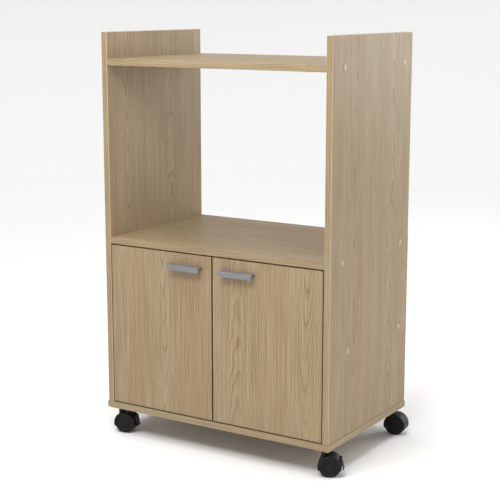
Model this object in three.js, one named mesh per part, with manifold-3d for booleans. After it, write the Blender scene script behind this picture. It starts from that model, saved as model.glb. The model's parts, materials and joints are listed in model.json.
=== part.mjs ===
// A rolling microwave cart: two side panels stand on a base board with four twin-wheel casters.
// Between them are an open bay with a shelf over it, and a cupboard with two inset doors.
// Millimetres, +Z up, +X to the right, the doors face -Y. The floor is z = 0.

import * as THREE from "three";
import { mergeVertices } from "three/addons/utils/BufferGeometryUtils.js";
import Module from "manifold-3d";

const wasm = await Module();
wasm.setup();

// ---- Driving dimensions: carcass ----
const cartWidth = 600; // across the outsides of the side panels
const cartDepth = 378; // of the side panels
const sideHeight = 874; // of the side panels, from the base up
const boardThickness = 15;
const edgeEase = 0.6; // chamfer on the banded board edges
const baseOverhang = 2; // of the base past the side panels, all round
const innerShelfHeight = 200; // shelf tops, measured from the top of the base
const middleShelfHeight = 401;
const upperShelfHeight = 814;
const innerShelfClearance = 9.5; // behind the doors' turning edges
const backThickness = 3;
const backSideMargin = 1; // the back stops short of the outer faces

// ---- Driving dimensions: screw caps ----
const capDiameter = 14;
const capHeight = 1.2;
const capRimHeight = 0.5; // of the straight edge below the dome
const capFromFrontEdge = 52; // of the shelf that the screw holds
const capFromBackEdge = 42;

// ---- Driving dimensions: doors, pivots and catch ----
const doorThickness = 15;
const doorGap = 2.5; // at the sides, above and below
const doorMiddleGap = 3;
const swingClearance = 0.5; // left beside a door's back corner as it turns past its side panel
const pinDiameter = 6;
const pinDepth = 18; // of the pin in the door
const pinCollarDiameter = 10;
const spigotDiameter = 4.5; // of the pin in its bush
const spigotLength = 7; // past the face of the board that holds the bush
const bushWall = 2;
const bushFloor = 1.7;
const bushFlangeWidth = 2;
const bushFlangeThickness = 1;
const fitClearance = 0.3; // between a pin and what it turns or sits in
const catchWidth = 52;
const catchDepth = 13;
const catchHeight = 12;
const catchEarLength = 9;
const catchEarThickness = 2.4;
const magnetWidth = 15;
const magnetHeight = 7;
const magnetProjection = 1.2;
const strikeWidth = 19;
const strikeHeight = 11;
const strikeThickness = 1;
const strikeEase = 0.25;
const catchGap = 0.5; // between a magnet and its strike plate

// ---- Driving dimensions: handles ----
const handleLength = 87;
const handleHeight = 12.5; // of the lip
const handleProjection = 17;
const handleLipThickness = 5;
const handleTopThickness = 4;
const handleEndWidth = 8; // of the deeper block at each end
const handleEndHeight = 8;
const handleRounding = 2; // of the upper front edge
const handleEase = 0.7;
const handleFromDoorEdge = 24.8; // from the doors' meeting edge to the handle's near end
const handleFromDoorTop = 31.5; // to the middle of the lip

// ---- Driving dimensions: casters ----
const casterInsetX = 23; // swivel axis from the ends of the base
const casterInsetY = 25; // swivel axis from its front and back edges
const wheelDiameter = 48;
const wheelWidth = 13.5;
const casterTrail = 12; // from the swivel axis to the axle
const axleDiameter = 6;
const webThickness = 4.6; // of the hood between the two wheels
const wheelSideGap = 0.4;
const wheelRimGap = 1;
const hoodWall = 1.5;
const hoodEase = 2.2; // rounding of the hood's outer edges
const hoodSkirt = 8; // the hood reaches this far below the axle
const shoulder = 1.6; // chamfer on a wheel's outer edge
const rimWidth = 4; // of the raised ring on a wheel's face
const hubWall = 4; // of the raised hub round the axle
const dishDepth = 1.4; // of the face between ring and hub
const hubCap = 3; // thickness of the wheel's face over the axle's end
const lipWidth = 2.2; // the hood's side lips stand in front of the wheels by this much
const neckDiameter = 15;
const neckRise = 8; // of the neck above the top of the hood
const plateSize = 38;
const plateThickness = 2.5;
const plateCornerRadius = 5;
const plateHolePitch = 27;
const plateHoleDiameter = 4.5;
const racewayDiameter = 26;
const racewayDepth = 2;
const kingpinDiameter = 7;
const leverWidth = 19;
const leverSwing = 5; // degrees from rest until the lever lies on the hood
const leverPivotAngle = 33; // above the axle's level, on the trailing side
const leverBarrelDiameter = 4.6;
const leverPinDiameter = 2;
const leverTipAngle = -15; // of the pressed lever's tip, below the axle's level
const leverTipStep = 3.2; // of the tip past the hood
const leverNose = 2; // thickness of the tip
const leverLugThickness = 2.2;
const leverLugSpread = 9; // half the angle that a lug takes up on the hood
const leverRunningGap = 0.4;

// Each caster as it stands, with its wheels trailing this many degrees round from +X.
const casters = [
  { name: "front_left", side: -1, end: -1, heading: 14, brake: true },
  { name: "front_right", side: 1, end: -1, heading: 24, brake: true },
  { name: "back_left", side: -1, end: 1, heading: 5, brake: false },
  { name: "back_right", side: 1, end: 1, heading: 8, brake: false },
];

// ---- Derived sizes and levels ----
const wheelRadius = wheelDiameter / 2;
const wellRadius = wheelRadius + wheelRimGap;
const hoodRadius = wellRadius + hoodWall;
const wheelInner = webThickness / 2 + wheelSideGap;
const wheelOuter = wheelInner + wheelWidth;
const hoodHalfWidth = wheelOuter + wheelSideGap + hoodWall;
const casterHeight = wheelRadius + hoodRadius + neckRise + racewayDepth + plateThickness;
const innerWidth = cartWidth - 2 * boardThickness;
const baseTop = casterHeight + boardThickness;
const innerShelfTop = baseTop + innerShelfHeight;
const middleShelfTop = baseTop + middleShelfHeight;
const middleShelfBottom = middleShelfTop - boardThickness;
const upperShelfTop = baseTop + upperShelfHeight;
const doorWidth = (innerWidth - 2 * doorGap - doorMiddleGap) / 2;
const doorBottom = baseTop + doorGap;
const doorTop = middleShelfBottom - doorGap;
const doorHeight = doorTop - doorBottom;

// A door turns about an axis in the middle of its thickness. The axis lies so far in from the
// door's outer edge that the back corner there stays in the side gap, less the swing clearance.
const cornerRoom = doorGap - swingClearance;
const pivotInset = ((doorThickness / 2) ** 2 - cornerRoom ** 2) / (2 * cornerRoom);
const pivotX = innerWidth / 2 - doorGap - pivotInset;
const pivotY = doorThickness / 2;
const innerShelfSetback = pivotY + pivotInset + innerShelfClearance;
const bushDepth = spigotLength + fitClearance + bushFloor;
const bushDiameter = spigotDiameter + 2 * fitClearance + 2 * bushWall;
const bushSeatDiameter = bushDiameter + 2 * fitClearance;
const pinCollarThickness = doorGap - bushFlangeThickness - fitClearance;

// ---- Facets ----
const largeSides = 30; // round the wheels and the hood's wells
const smallSides = 16; // round pins and bushes
const capSides = 16;
const domeSteps = 2;
const arcSteps = 10; // along each curve of an extruded outline
const cornerSteps = 3; // round a corner or a screw hole of a caster plate
const cutOverrun = 1; // of a cutter past the faces that it opens

// ---- Materials ----
const woodLook = { color: 0xcbb79b, roughness: 0.55, metalness: 0 };
const hardboardLook = { color: 0x9c8468, roughness: 0.8, metalness: 0 };
const capLook = { color: 0xd8cbb3, roughness: 0.5, metalness: 0 };
const satinMetalLook = { color: 0xb3b3b6, roughness: 0.35, metalness: 0.9 };
const steelLook = { color: 0x9a9c9f, roughness: 0.4, metalness: 1 };
const nylonLook = { color: 0xe6e2d8, roughness: 0.5, metalness: 0 };
const blackNylonLook = { color: 0x2c2c2e, roughness: 0.5, metalness: 0 };
const tyreLook = { color: 0x242426, roughness: 0.6, metalness: 0 };

// ---- Solids and booleans ----
function solidOf(geometry) {
  const bare = geometry.index ? geometry.toNonIndexed() : geometry.clone();
  bare.deleteAttribute("normal");
  bare.deleteAttribute("uv");
  const merged = mergeVertices(bare, 1e-4);
  return new wasm.Manifold(
    new wasm.Mesh({
      numProp: 3,
      vertProperties: merged.attributes.position.array,
      triVerts: new Uint32Array(merged.index.array),
    }),
  );
}

function geometryOf(solid) {
  const mesh = solid.getMesh();
  const geometry = new THREE.BufferGeometry();
  geometry.setAttribute("position", new THREE.BufferAttribute(mesh.vertProperties, 3));
  geometry.setIndex(new THREE.BufferAttribute(mesh.triVerts, 1));
  geometry.computeVertexNormals();
  return geometry;
}

function join(...geometries) {
  return geometryOf(geometries.map(solidOf).reduce((sum, piece) => sum.add(piece)));
}

function cut(geometry, ...cutters) {
  const remove = (rest, cutter) => rest.subtract(cutter);
  return geometryOf(cutters.map(solidOf).reduce(remove, solidOf(geometry)));
}

// ---- Basic forms ----
// A block with its lowest corner at the origin.
function block(x, y, z) {
  return new THREE.BoxGeometry(x, y, z).translate(x / 2, y / 2, z / 2);
}

// A rectangle from (x0, y0) to (x1, y1) with its corners cut off by `ease`.
function easedRectangle(x0, y0, x1, y1, ease) {
  const shape = new THREE.Shape();
  shape.moveTo(x0 + ease, y0);
  shape.lineTo(x1 - ease, y0);
  shape.lineTo(x1, y0 + ease);
  shape.lineTo(x1, y1 - ease);
  shape.lineTo(x1 - ease, y1);
  shape.lineTo(x0 + ease, y1);
  shape.lineTo(x0, y1 - ease);
  shape.lineTo(x0, y0 + ease);
  shape.closePath();
  return shape;
}

// A board with every edge chamfered by `ease` and its lowest corner at the origin.
function board(x, y, z, ease = edgeEase) {
  return new THREE.ExtrudeGeometry(easedRectangle(ease, ease, x - ease, y - ease, ease), {
    depth: z - 2 * ease,
    bevelEnabled: true,
    bevelThickness: ease,
    bevelSize: ease,
    bevelSegments: 1,
  }).translate(0, 0, ease);
}

// A round rod from z0 to z1 about the Z axis.
function rod(diameter, z0, z1, sides) {
  const length = z1 - z0;
  return new THREE.CylinderGeometry(diameter / 2, diameter / 2, length, sides)
    .rotateX(Math.PI / 2)
    .translate(0, 0, z0 + length / 2);
}

// A round rod from y0 to y1 about the Y axis.
function crossRod(diameter, y0, y1, sides) {
  const length = Math.abs(y1 - y0);
  return new THREE.CylinderGeometry(diameter / 2, diameter / 2, length, sides)
    .translate(0, (y0 + y1) / 2, 0);
}

// A solid of revolution about the Z axis from [radius, z] pairs, listed from its lowest point up.
function turned(profile, sides) {
  const points = profile.map(([radius, z]) => new THREE.Vector2(radius, z));
  return new THREE.LatheGeometry(points, sides).rotateX(Math.PI / 2);
}

// The same piece turned upside down about the X axis.
function flipped(geometry) {
  return geometry.rotateX(Math.PI);
}

// A profile drawn in the X-Z plane and extruded across Y, centred on the X-Z plane.
function across(shape, width, ease = 0, easeSteps = 1) {
  return new THREE.ExtrudeGeometry(shape, {
    depth: width - 2 * ease,
    bevelEnabled: ease > 0,
    bevelThickness: ease,
    bevelSize: ease,
    bevelOffset: -ease,
    bevelSegments: easeSteps,
    curveSegments: arcSteps,
  })
    .translate(0, 0, ease - width / 2)
    .rotateX(Math.PI / 2);
}

// ---- The scene graph ----
const cart = new THREE.Group();
const sideNames = { "-1": "left", 1: "right" };

function addPiece(parent, name, geometry, look, x = 0, y = 0, z = 0) {
  const mesh = new THREE.Mesh(geometry, new THREE.MeshStandardMaterial(look));
  mesh.name = name;
  mesh.position.set(x, y, z);
  parent.add(mesh);
  return mesh;
}

// ---- Carcass ----
// Cutters for the two bushes in a board whose face is at the level z; `up` is the way into it.
function bushSeats(z, up) {
  const far = z + up * (bushDepth + fitClearance);
  const seat = () => rod(bushSeatDiameter, Math.min(z, far), Math.max(z, far), smallSides);
  return [-1, 1].map((side) => seat().translate(side * pivotX, pivotY, 0));
}

function addCarcass() {
  const sideBoard = () => board(boardThickness, cartDepth, sideHeight);
  const rightInnerFace = cartWidth / 2 - boardThickness;
  addPiece(cart, "left_side_panel", sideBoard(), woodLook, -cartWidth / 2, 0, baseTop);
  addPiece(cart, "right_side_panel", sideBoard(), woodLook, rightInnerFace, 0, baseTop);

  const baseWidth = cartWidth + 2 * baseOverhang;
  const baseDepth = cartDepth + 2 * baseOverhang;
  const baseBoard = board(baseWidth, baseDepth, boardThickness)
    .translate(-baseWidth / 2, -baseOverhang, casterHeight);
  addPiece(cart, "base_panel", cut(baseBoard, ...bushSeats(baseTop, -1)), woodLook);

  const shelfBoard = (setback, top) =>
    board(innerWidth, cartDepth - setback, boardThickness)
      .translate(-innerWidth / 2, setback, top - boardThickness);
  const middleBoard = cut(shelfBoard(0, middleShelfTop), ...bushSeats(middleShelfBottom, 1));
  addPiece(cart, "middle_shelf", middleBoard, woodLook);
  addPiece(cart, "upper_shelf", shelfBoard(0, upperShelfTop), woodLook);
  addPiece(cart, "inner_shelf", shelfBoard(innerShelfSetback, innerShelfTop), woodLook);

  const backWidth = cartWidth - 2 * backSideMargin;
  const backBoard = block(backWidth, backThickness, middleShelfHeight);
  addPiece(cart, "back_panel", backBoard, hardboardLook, -backWidth / 2, cartDepth, baseTop);
}

// Low domed caps over the shelf screws, three pairs on each side panel.
function addScrewCaps() {
  const capRadius = capDiameter / 2;
  const profile = [[0, 0], [capRadius, 0]];
  for (let step = 0; step < domeSteps; step += 1) {
    const angle = (step / domeSteps) * (Math.PI / 2);
    const rise = (capHeight - capRimHeight) * Math.sin(angle);
    profile.push([capRadius * Math.cos(angle), capRimHeight + rise]);
  }
  const cap = turned([...profile, [0, capHeight]], capSides);
  const shelves = [
    { name: "upper", top: upperShelfTop, setback: 0 },
    { name: "middle", top: middleShelfTop, setback: 0 },
    { name: "inner", top: innerShelfTop, setback: innerShelfSetback },
  ];
  for (const side of [-1, 1]) {
    const outerFace = (side * cartWidth) / 2;
    const facing = (side * Math.PI) / 2;
    for (const shelf of shelves) {
      const level = shelf.top - boardThickness / 2;
      const places = { front: shelf.setback + capFromFrontEdge, back: cartDepth - capFromBackEdge };
      for (const [end, y] of Object.entries(places)) {
        const name = `${sideNames[side]}_${shelf.name}_${end}_screw_cap`;
        addPiece(cart, name, cap.clone().rotateY(facing), capLook, outerFace, y, level);
      }
    }
  }
}

// ---- Doors ----
// A pin for a door's edge at z = 0: its shank goes down into the door and its spigot stands up.
function pivotPin() {
  return turned(
    [
      [0, -pinDepth],
      [pinDiameter / 2, -pinDepth],
      [pinDiameter / 2, 0],
      [pinCollarDiameter / 2, 0],
      [pinCollarDiameter / 2, pinCollarThickness],
      [spigotDiameter / 2, pinCollarThickness],
      [spigotDiameter / 2, doorGap + spigotLength],
      [0, doorGap + spigotLength],
    ],
    smallSides,
  );
}

// A flanged bush for a board's face at z = 0: its body goes down and its flange stands on the face.
function pivotBush() {
  const bore = spigotDiameter / 2 + fitClearance;
  const boreFloor = -spigotLength - fitClearance;
  return turned(
    [
      [0, -bushDepth],
      [bushDiameter / 2, -bushDepth],
      [bushDiameter / 2, 0],
      [bushDiameter / 2 + bushFlangeWidth, 0],
      [bushDiameter / 2 + bushFlangeWidth, bushFlangeThickness],
      [bore, bushFlangeThickness],
      [bore, boreFloor],
      [0, boreFloor],
    ],
    smallSides,
  );
}

// A lip pull: a top that stands out from the door, with a lip hanging down along its front and a
// deeper block under each end. Its back is on y = 0, it starts at x = 0 and the lip's middle is z = 0.
function lipHandle() {
  const top = handleHeight / 2;
  const front = -handleProjection;
  const lipBack = front + handleLipThickness;
  const shape = new THREE.Shape();
  shape.moveTo(0, top - handleTopThickness);
  shape.lineTo(0, top);
  shape.lineTo(front + handleRounding, top);
  const bend = [front + handleRounding, top - handleRounding, handleRounding];
  shape.absarc(...bend, Math.PI / 2, Math.PI, false);
  shape.lineTo(front, handleEase - top);
  shape.lineTo(front + handleEase, -top);
  shape.lineTo(lipBack - handleEase, -top);
  shape.lineTo(lipBack, handleEase - top);
  shape.lineTo(lipBack, top - handleTopThickness);
  shape.closePath();
  const rail = across(shape, handleLength, handleEase)
    .rotateZ(Math.PI / 2)
    .translate(handleLength / 2, 0, 0);
  const endDepth = handleProjection - handleLipThickness / 2;
  const endRoot = handleTopThickness / 2;
  const ends = [0, handleLength - handleEndWidth].map((x) =>
    block(handleEndWidth, endDepth, handleEndHeight - endRoot)
      .translate(x, -endDepth, top - handleEndHeight),
  );
  return join(rail, ...ends);
}

// One door with its sockets, pivots and handle; `side` is -1 for the left door and 1 for the right.
function addDoor(side) {
  const name = sideNames[side];
  const pivot = side * pivotX;
  const leftEdge = side < 0 ? -doorMiddleGap / 2 - doorWidth : doorMiddleGap / 2;
  const panel = board(doorWidth, doorThickness, doorHeight).translate(leftEdge, 0, doorBottom);
  const socketDiameter = pinDiameter + 2 * fitClearance;
  const socketDepth = pinDepth + fitClearance;
  const sockets = [
    rod(socketDiameter, doorBottom, doorBottom + socketDepth, smallSides),
    rod(socketDiameter, doorTop - socketDepth, doorTop, smallSides),
  ].map((socket) => socket.translate(pivot, pivotY, 0));
  addPiece(cart, `${name}_door`, cut(panel, ...sockets), woodLook);

  const addPivot = (piece, geometry, look, level) =>
    addPiece(cart, `${name}_${piece}`, geometry, look, pivot, pivotY, level);
  addPivot("upper_pivot_pin", pivotPin(), steelLook, doorTop);
  addPivot("lower_pivot_pin", flipped(pivotPin()), steelLook, doorBottom);
  addPivot("upper_pivot_bush", flipped(pivotBush()), nylonLook, middleShelfBottom);
  addPivot("lower_pivot_bush", pivotBush(), nylonLook, baseTop);

  const nearEnd = doorMiddleGap / 2 + handleFromDoorEdge;
  const handleX = side < 0 ? -nearEnd - handleLength : nearEnd;
  const handleZ = doorTop - handleFromDoorTop;
  addPiece(cart, `${name}_handle`, lipHandle(), satinMetalLook, handleX, 0, handleZ);
}

// A double magnetic catch under the middle shelf and a strike plate on the back of each door.
function addCatch() {
  const strikeY = doorThickness;
  const bodyY = strikeY + strikeThickness + catchGap + magnetProjection;
  const bodyBottom = middleShelfBottom - catchHeight;
  const housing = board(catchWidth, catchDepth, catchHeight)
    .translate(-catchWidth / 2, bodyY, bodyBottom);
  const ear = board(catchWidth + 2 * catchEarLength, catchDepth, catchEarThickness)
    .translate(-catchWidth / 2 - catchEarLength, bodyY, middleShelfBottom - catchEarThickness);
  const magnetX = catchWidth / 4;
  const magnetBottom = bodyBottom + (catchHeight - catchEarThickness - magnetHeight) / 2;
  const magnets = [-1, 1].map((side) =>
    block(magnetWidth, catchDepth, magnetHeight)
      .translate(side * magnetX - magnetWidth / 2, bodyY - magnetProjection, magnetBottom),
  );
  addPiece(cart, "magnetic_catch", join(housing, ear, ...magnets), nylonLook);
  const strikeBottom = magnetBottom + (magnetHeight - strikeHeight) / 2;
  for (const side of [-1, 1]) {
    const strike = board(strikeWidth, strikeThickness, strikeHeight, strikeEase)
      .translate(side * magnetX - strikeWidth / 2, strikeY, strikeBottom);
    addPiece(cart, `${sideNames[side]}_strike_plate`, strike, steelLook);
  }
}

// ---- Casters ----
// Caster pieces are drawn with the swivel axis on Z, the floor at z = 0 and the wheels trailing to +X.
const plateBottom = casterHeight - plateThickness;
const racewayBottom = plateBottom - racewayDepth;
const kingpinBottom = wheelRadius + Math.sqrt(hoodRadius ** 2 - casterTrail ** 2) + hoodWall / 2;

function swivelPlate() {
  const corner = plateSize / 2 - plateCornerRadius;
  const pitch = plateHolePitch / 2;
  const shape = new THREE.Shape();
  for (const [x, y, start] of [[1, -1, -90], [1, 1, 0], [-1, 1, 90], [-1, -1, 180]]) {
    const from = THREE.MathUtils.degToRad(start);
    shape.absarc(x * corner, y * corner, plateCornerRadius, from, from + Math.PI / 2, false);
    const hole = new THREE.Path();
    hole.absarc(x * pitch, y * pitch, plateHoleDiameter / 2, 0, 2 * Math.PI, true);
    shape.holes.push(hole);
  }
  shape.closePath();
  const plate = new THREE.ExtrudeGeometry(shape, {
    depth: plateThickness,
    bevelEnabled: false,
    curveSegments: cornerSteps,
  }).translate(0, 0, plateBottom);
  const insidePlate = plateBottom + plateThickness / 2;
  const pin = turned(
    [
      [0, kingpinBottom],
      [kingpinDiameter / 2, kingpinBottom],
      [kingpinDiameter / 2, racewayBottom],
      [racewayDiameter / 2 - racewayDepth, racewayBottom],
      [racewayDiameter / 2, plateBottom],
      [racewayDiameter / 2, insidePlate],
      [0, insidePlate],
    ],
    smallSides,
  );
  return join(plate, pin);
}

// The outline of the hood above its skirt: a circle about the axle, cut off level.
function hoodOutline() {
  const skirtAngle = Math.asin(hoodSkirt / hoodRadius);
  const shape = new THREE.Shape();
  shape.absarc(0, 0, hoodRadius, -skirtAngle, Math.PI + skirtAngle, false);
  shape.closePath();
  return shape;
}

// A point at this distance and angle from the axle, in the X-Z plane.
function aboutAxle(radius, degrees) {
  const angle = THREE.MathUtils.degToRad(degrees);
  return new THREE.Vector2(radius * Math.cos(angle), radius * Math.sin(angle));
}

const leverPivot = aboutAxle(hoodRadius + leverRunningGap + leverBarrelDiameter / 2, leverPivotAngle);

// Two lugs on the hood with the brake lever's pin between them, drawn about the axle.
function leverLugs() {
  const root = hoodRadius - hoodWall / 2;
  const facing = THREE.MathUtils.degToRad(leverPivotAngle);
  const radius = leverBarrelDiameter / 2;
  const shape = new THREE.Shape();
  shape.moveTo(...aboutAxle(root, leverPivotAngle - leverLugSpread));
  shape.absarc(leverPivot.x, leverPivot.y, radius, facing - Math.PI / 2, facing + Math.PI / 2, false);
  shape.lineTo(...aboutAxle(root, leverPivotAngle + leverLugSpread));
  shape.closePath();
  const middle = (leverWidth + leverLugThickness) / 2 + leverRunningGap;
  const lugs = [-1, 1].map((side) => across(shape, leverLugThickness).translate(0, side * middle, 0));
  const pin = crossRod(leverPinDiameter, -middle, middle, smallSides);
  return [...lugs, pin.translate(leverPivot.x, 0, leverPivot.y)];
}

// The black moulding over the wheels: a round roof with side lips, a web between the wheels
// that carries the axle, and a neck that turns on the plate's kingpin.
function hood(brake) {
  const wellOuter = wheelOuter + wheelSideGap;
  const beyond = hoodHalfWidth + cutOverrun;
  const webFace = webThickness / 2;
  const wells = [-1, 1].flatMap((side) => [
    crossRod(2 * wellRadius, side * webFace, side * wellOuter, largeSides),
    crossRod(2 * (wellRadius - lipWidth), side * webFace, side * beyond, largeSides),
  ]);
  const axleHole = crossRod(axleDiameter + 2 * fitClearance, -beyond, beyond, smallSides);
  const drum = across(hoodOutline(), 2 * hoodHalfWidth, hoodEase, 2);
  const body = brake ? join(drum, ...leverLugs()) : drum;
  const shell = cut(body, ...wells, axleHole).translate(casterTrail, 0, wheelRadius);

  const neckTop = racewayBottom - fitClearance;
  const wellRoof = crossRod(2 * wellRadius, -beyond, beyond, largeSides)
    .translate(casterTrail, 0, wheelRadius);
  const neck = cut(rod(neckDiameter, wheelRadius, neckTop, smallSides), wellRoof);
  const pinHoleBottom = kingpinBottom - fitClearance;
  const pinHoleDiameter = kingpinDiameter + 2 * fitClearance;
  const pinHole = rod(pinHoleDiameter, pinHoleBottom, neckTop + cutOverrun, smallSides);
  return cut(join(shell, neck), pinHole);
}

// The pedal of a front caster, at rest: a barrel on the pin and a tongue with a pointed tip.
// It is drawn as it lies on the hood when pressed, then swung back about its pin.
function brakeLever() {
  const underside = hoodRadius + leverRunningGap;
  const fromAngle = THREE.MathUtils.degToRad(leverPivotAngle);
  const toAngle = THREE.MathUtils.degToRad(leverTipAngle);
  const barrelTop = underside + leverBarrelDiameter;
  const tipRadius = hoodRadius + leverTipStep;
  const noseAngle = THREE.MathUtils.radToDeg(leverNose / tipRadius);
  const shape = new THREE.Shape();
  shape.absarc(0, 0, underside, fromAngle, toAngle, true);
  shape.lineTo(...aboutAxle(tipRadius, leverTipAngle));
  shape.lineTo(...aboutAxle(tipRadius, leverTipAngle + noseAngle));
  const hollow = aboutAxle(underside + leverNose, leverTipAngle / 2);
  shape.quadraticCurveTo(...hollow, ...aboutAxle(barrelTop, leverPivotAngle));
  shape.closePath();
  const tongue = across(shape, leverWidth).translate(-leverPivot.x, 0, -leverPivot.y);
  const halfWidth = leverWidth / 2;
  const barrel = crossRod(leverBarrelDiameter, -halfWidth, halfWidth, smallSides);
  const boreEnd = halfWidth + cutOverrun;
  const bore = crossRod(leverPinDiameter + 2 * fitClearance, -boreEnd, boreEnd, smallSides);
  return cut(join(tongue, barrel), bore)
    .rotateY(-THREE.MathUtils.degToRad(leverSwing))
    .translate(casterTrail + leverPivot.x, 0, wheelRadius + leverPivot.y);
}

// A wheel with a dished outer face and a blind bore for the axle, its inner face on z = 0.
// The middle of each facet of the tread is at the wheel's radius, and the wheel stands on a facet.
function wheel() {
  const halfFacet = Math.PI / largeSides;
  const tread = wheelRadius / Math.cos(halfFacet);
  const bore = axleDiameter / 2 + fitClearance;
  const rim = wheelRadius - rimWidth;
  const hub = axleDiameter / 2 + hubWall;
  return turned(
    [
      [0, wheelWidth - hubCap],
      [bore, wheelWidth - hubCap],
      [bore, 0],
      [tread, 0],
      [tread, wheelWidth - shoulder],
      [wheelRadius - shoulder, wheelWidth],
      [rim, wheelWidth],
      [rim - dishDepth, wheelWidth - dishDepth],
      [hub + dishDepth, wheelWidth - dishDepth],
      [hub, wheelWidth],
      [0, wheelWidth],
    ],
    largeSides,
  ).rotateZ(halfFacet);
}

function addCaster({ name, side, end, heading, brake }) {
  const x = side * (cartWidth / 2 + baseOverhang - casterInsetX);
  const y = end < 0 ? casterInsetY - baseOverhang : cartDepth + baseOverhang - casterInsetY;
  addPiece(cart, `${name}_caster_plate`, swivelPlate(), steelLook, x, y);

  const swivel = new THREE.Group();
  swivel.position.set(x, y, 0);
  swivel.rotation.z = THREE.MathUtils.degToRad(heading);
  cart.add(swivel);
  addPiece(swivel, `${name}_caster_hood`, hood(brake), blackNylonLook);
  if (brake) addPiece(swivel, `${name}_brake_lever`, brakeLever(), blackNylonLook);

  const axleEnd = wheelOuter - hubCap - fitClearance;
  const axle = crossRod(axleDiameter, -axleEnd, axleEnd, smallSides);
  addPiece(swivel, `${name}_axle`, axle, steelLook, casterTrail, 0, wheelRadius);
  for (const hand of [-1, 1]) {
    const disc = wheel().rotateX((hand * Math.PI) / 2).translate(0, -hand * wheelInner, 0);
    addPiece(swivel, `${name}_${sideNames[hand]}_wheel`, disc, tyreLook, casterTrail, 0, wheelRadius);
  }
}

addCarcass();
addScrewCaps();
addDoor(-1);
addDoor(1);
addCatch();
casters.forEach(addCaster);

// The origin is on the floor, under the middle of the box that holds the whole cart.
const part = new THREE.Group();
part.add(cart);
const extent = new THREE.Box3().setFromObject(cart, true);
const middle = extent.getCenter(new THREE.Vector3());
cart.position.set(-middle.x, -middle.y, 0);

export default part;
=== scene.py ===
"""The looks of a rolling kitchen cart: laminated boards, handles, hooded casters and a plain studio.

Metres, +Z up, the doors face -Y. Every piece is built where the frame puts it.
"""

import json
import math

import bmesh
import bpy
from bpy.props import FloatProperty, FloatVectorProperty, IntProperty, PointerProperty
from mathutils import Matrix, Vector


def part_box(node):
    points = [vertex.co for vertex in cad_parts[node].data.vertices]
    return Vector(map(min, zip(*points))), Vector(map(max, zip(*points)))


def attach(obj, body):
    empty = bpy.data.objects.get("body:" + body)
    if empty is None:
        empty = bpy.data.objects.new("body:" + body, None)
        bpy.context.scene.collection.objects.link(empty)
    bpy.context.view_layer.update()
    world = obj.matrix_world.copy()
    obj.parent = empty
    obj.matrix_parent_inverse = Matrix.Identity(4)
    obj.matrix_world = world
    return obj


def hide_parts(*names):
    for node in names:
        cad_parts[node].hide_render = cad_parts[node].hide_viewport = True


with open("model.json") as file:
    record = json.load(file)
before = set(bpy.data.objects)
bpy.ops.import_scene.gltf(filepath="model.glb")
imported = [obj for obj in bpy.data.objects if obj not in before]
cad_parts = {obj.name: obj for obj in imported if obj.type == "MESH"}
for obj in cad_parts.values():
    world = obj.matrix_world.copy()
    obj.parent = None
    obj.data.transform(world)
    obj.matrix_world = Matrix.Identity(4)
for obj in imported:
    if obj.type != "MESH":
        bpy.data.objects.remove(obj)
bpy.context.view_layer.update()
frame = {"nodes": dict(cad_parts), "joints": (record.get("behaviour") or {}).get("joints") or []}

bl_info = {
    "name": "Microwave cart",
    "version": (1, 0, 0),
    "blender": (4, 5, 0),
    "location": "3D View > Sidebar > Cart",
    "description": "Builds the finished boards, metalwork and casters of a rolling kitchen cart",
    "category": "Object",
}

MM = 0.001
JOINTS = {joint["name"]: joint for joint in frame["joints"]}
SWIVEL_SUFFIX = "_caster_swivel"
CASTERS = [name.removesuffix(SWIVEL_SUFFIX) for name in JOINTS if name.endswith(SWIVEL_SUFFIX)]
BRAKED = [caster for caster in CASTERS if f"{caster}_brake_lever_hinge" in JOINTS]
SIDES = {"left": -1, "right": 1}
CARCASS = "carcass"

SMOOTH_ANGLE = math.radians(38)  # an edge sharper than this shows as an edge
SMALL = 40  # sides of a small turned piece
LARGE = 96  # sides of a large one
QUARTER = math.pi / 2


# ---- Settings -------------------------------------------------------------------------------


def number(label, about, default, **more):
    return FloatProperty(name=label, description=about, default=default, **more)


def length(label, about, default):
    return number(label, about, default, min=0.0, precision=5, unit="LENGTH")


def share(label, about, default):
    return number(label, about, default, min=0.0, max=1.0, subtype="FACTOR")


def turn(label, about, degrees):
    return number(label, about, math.radians(degrees), unit="ROTATION")


def colour(label, about, default):
    return FloatVectorProperty(
        name=label, description=about, default=default, size=3, min=0.0, max=1.0, subtype="COLOR"
    )


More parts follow.
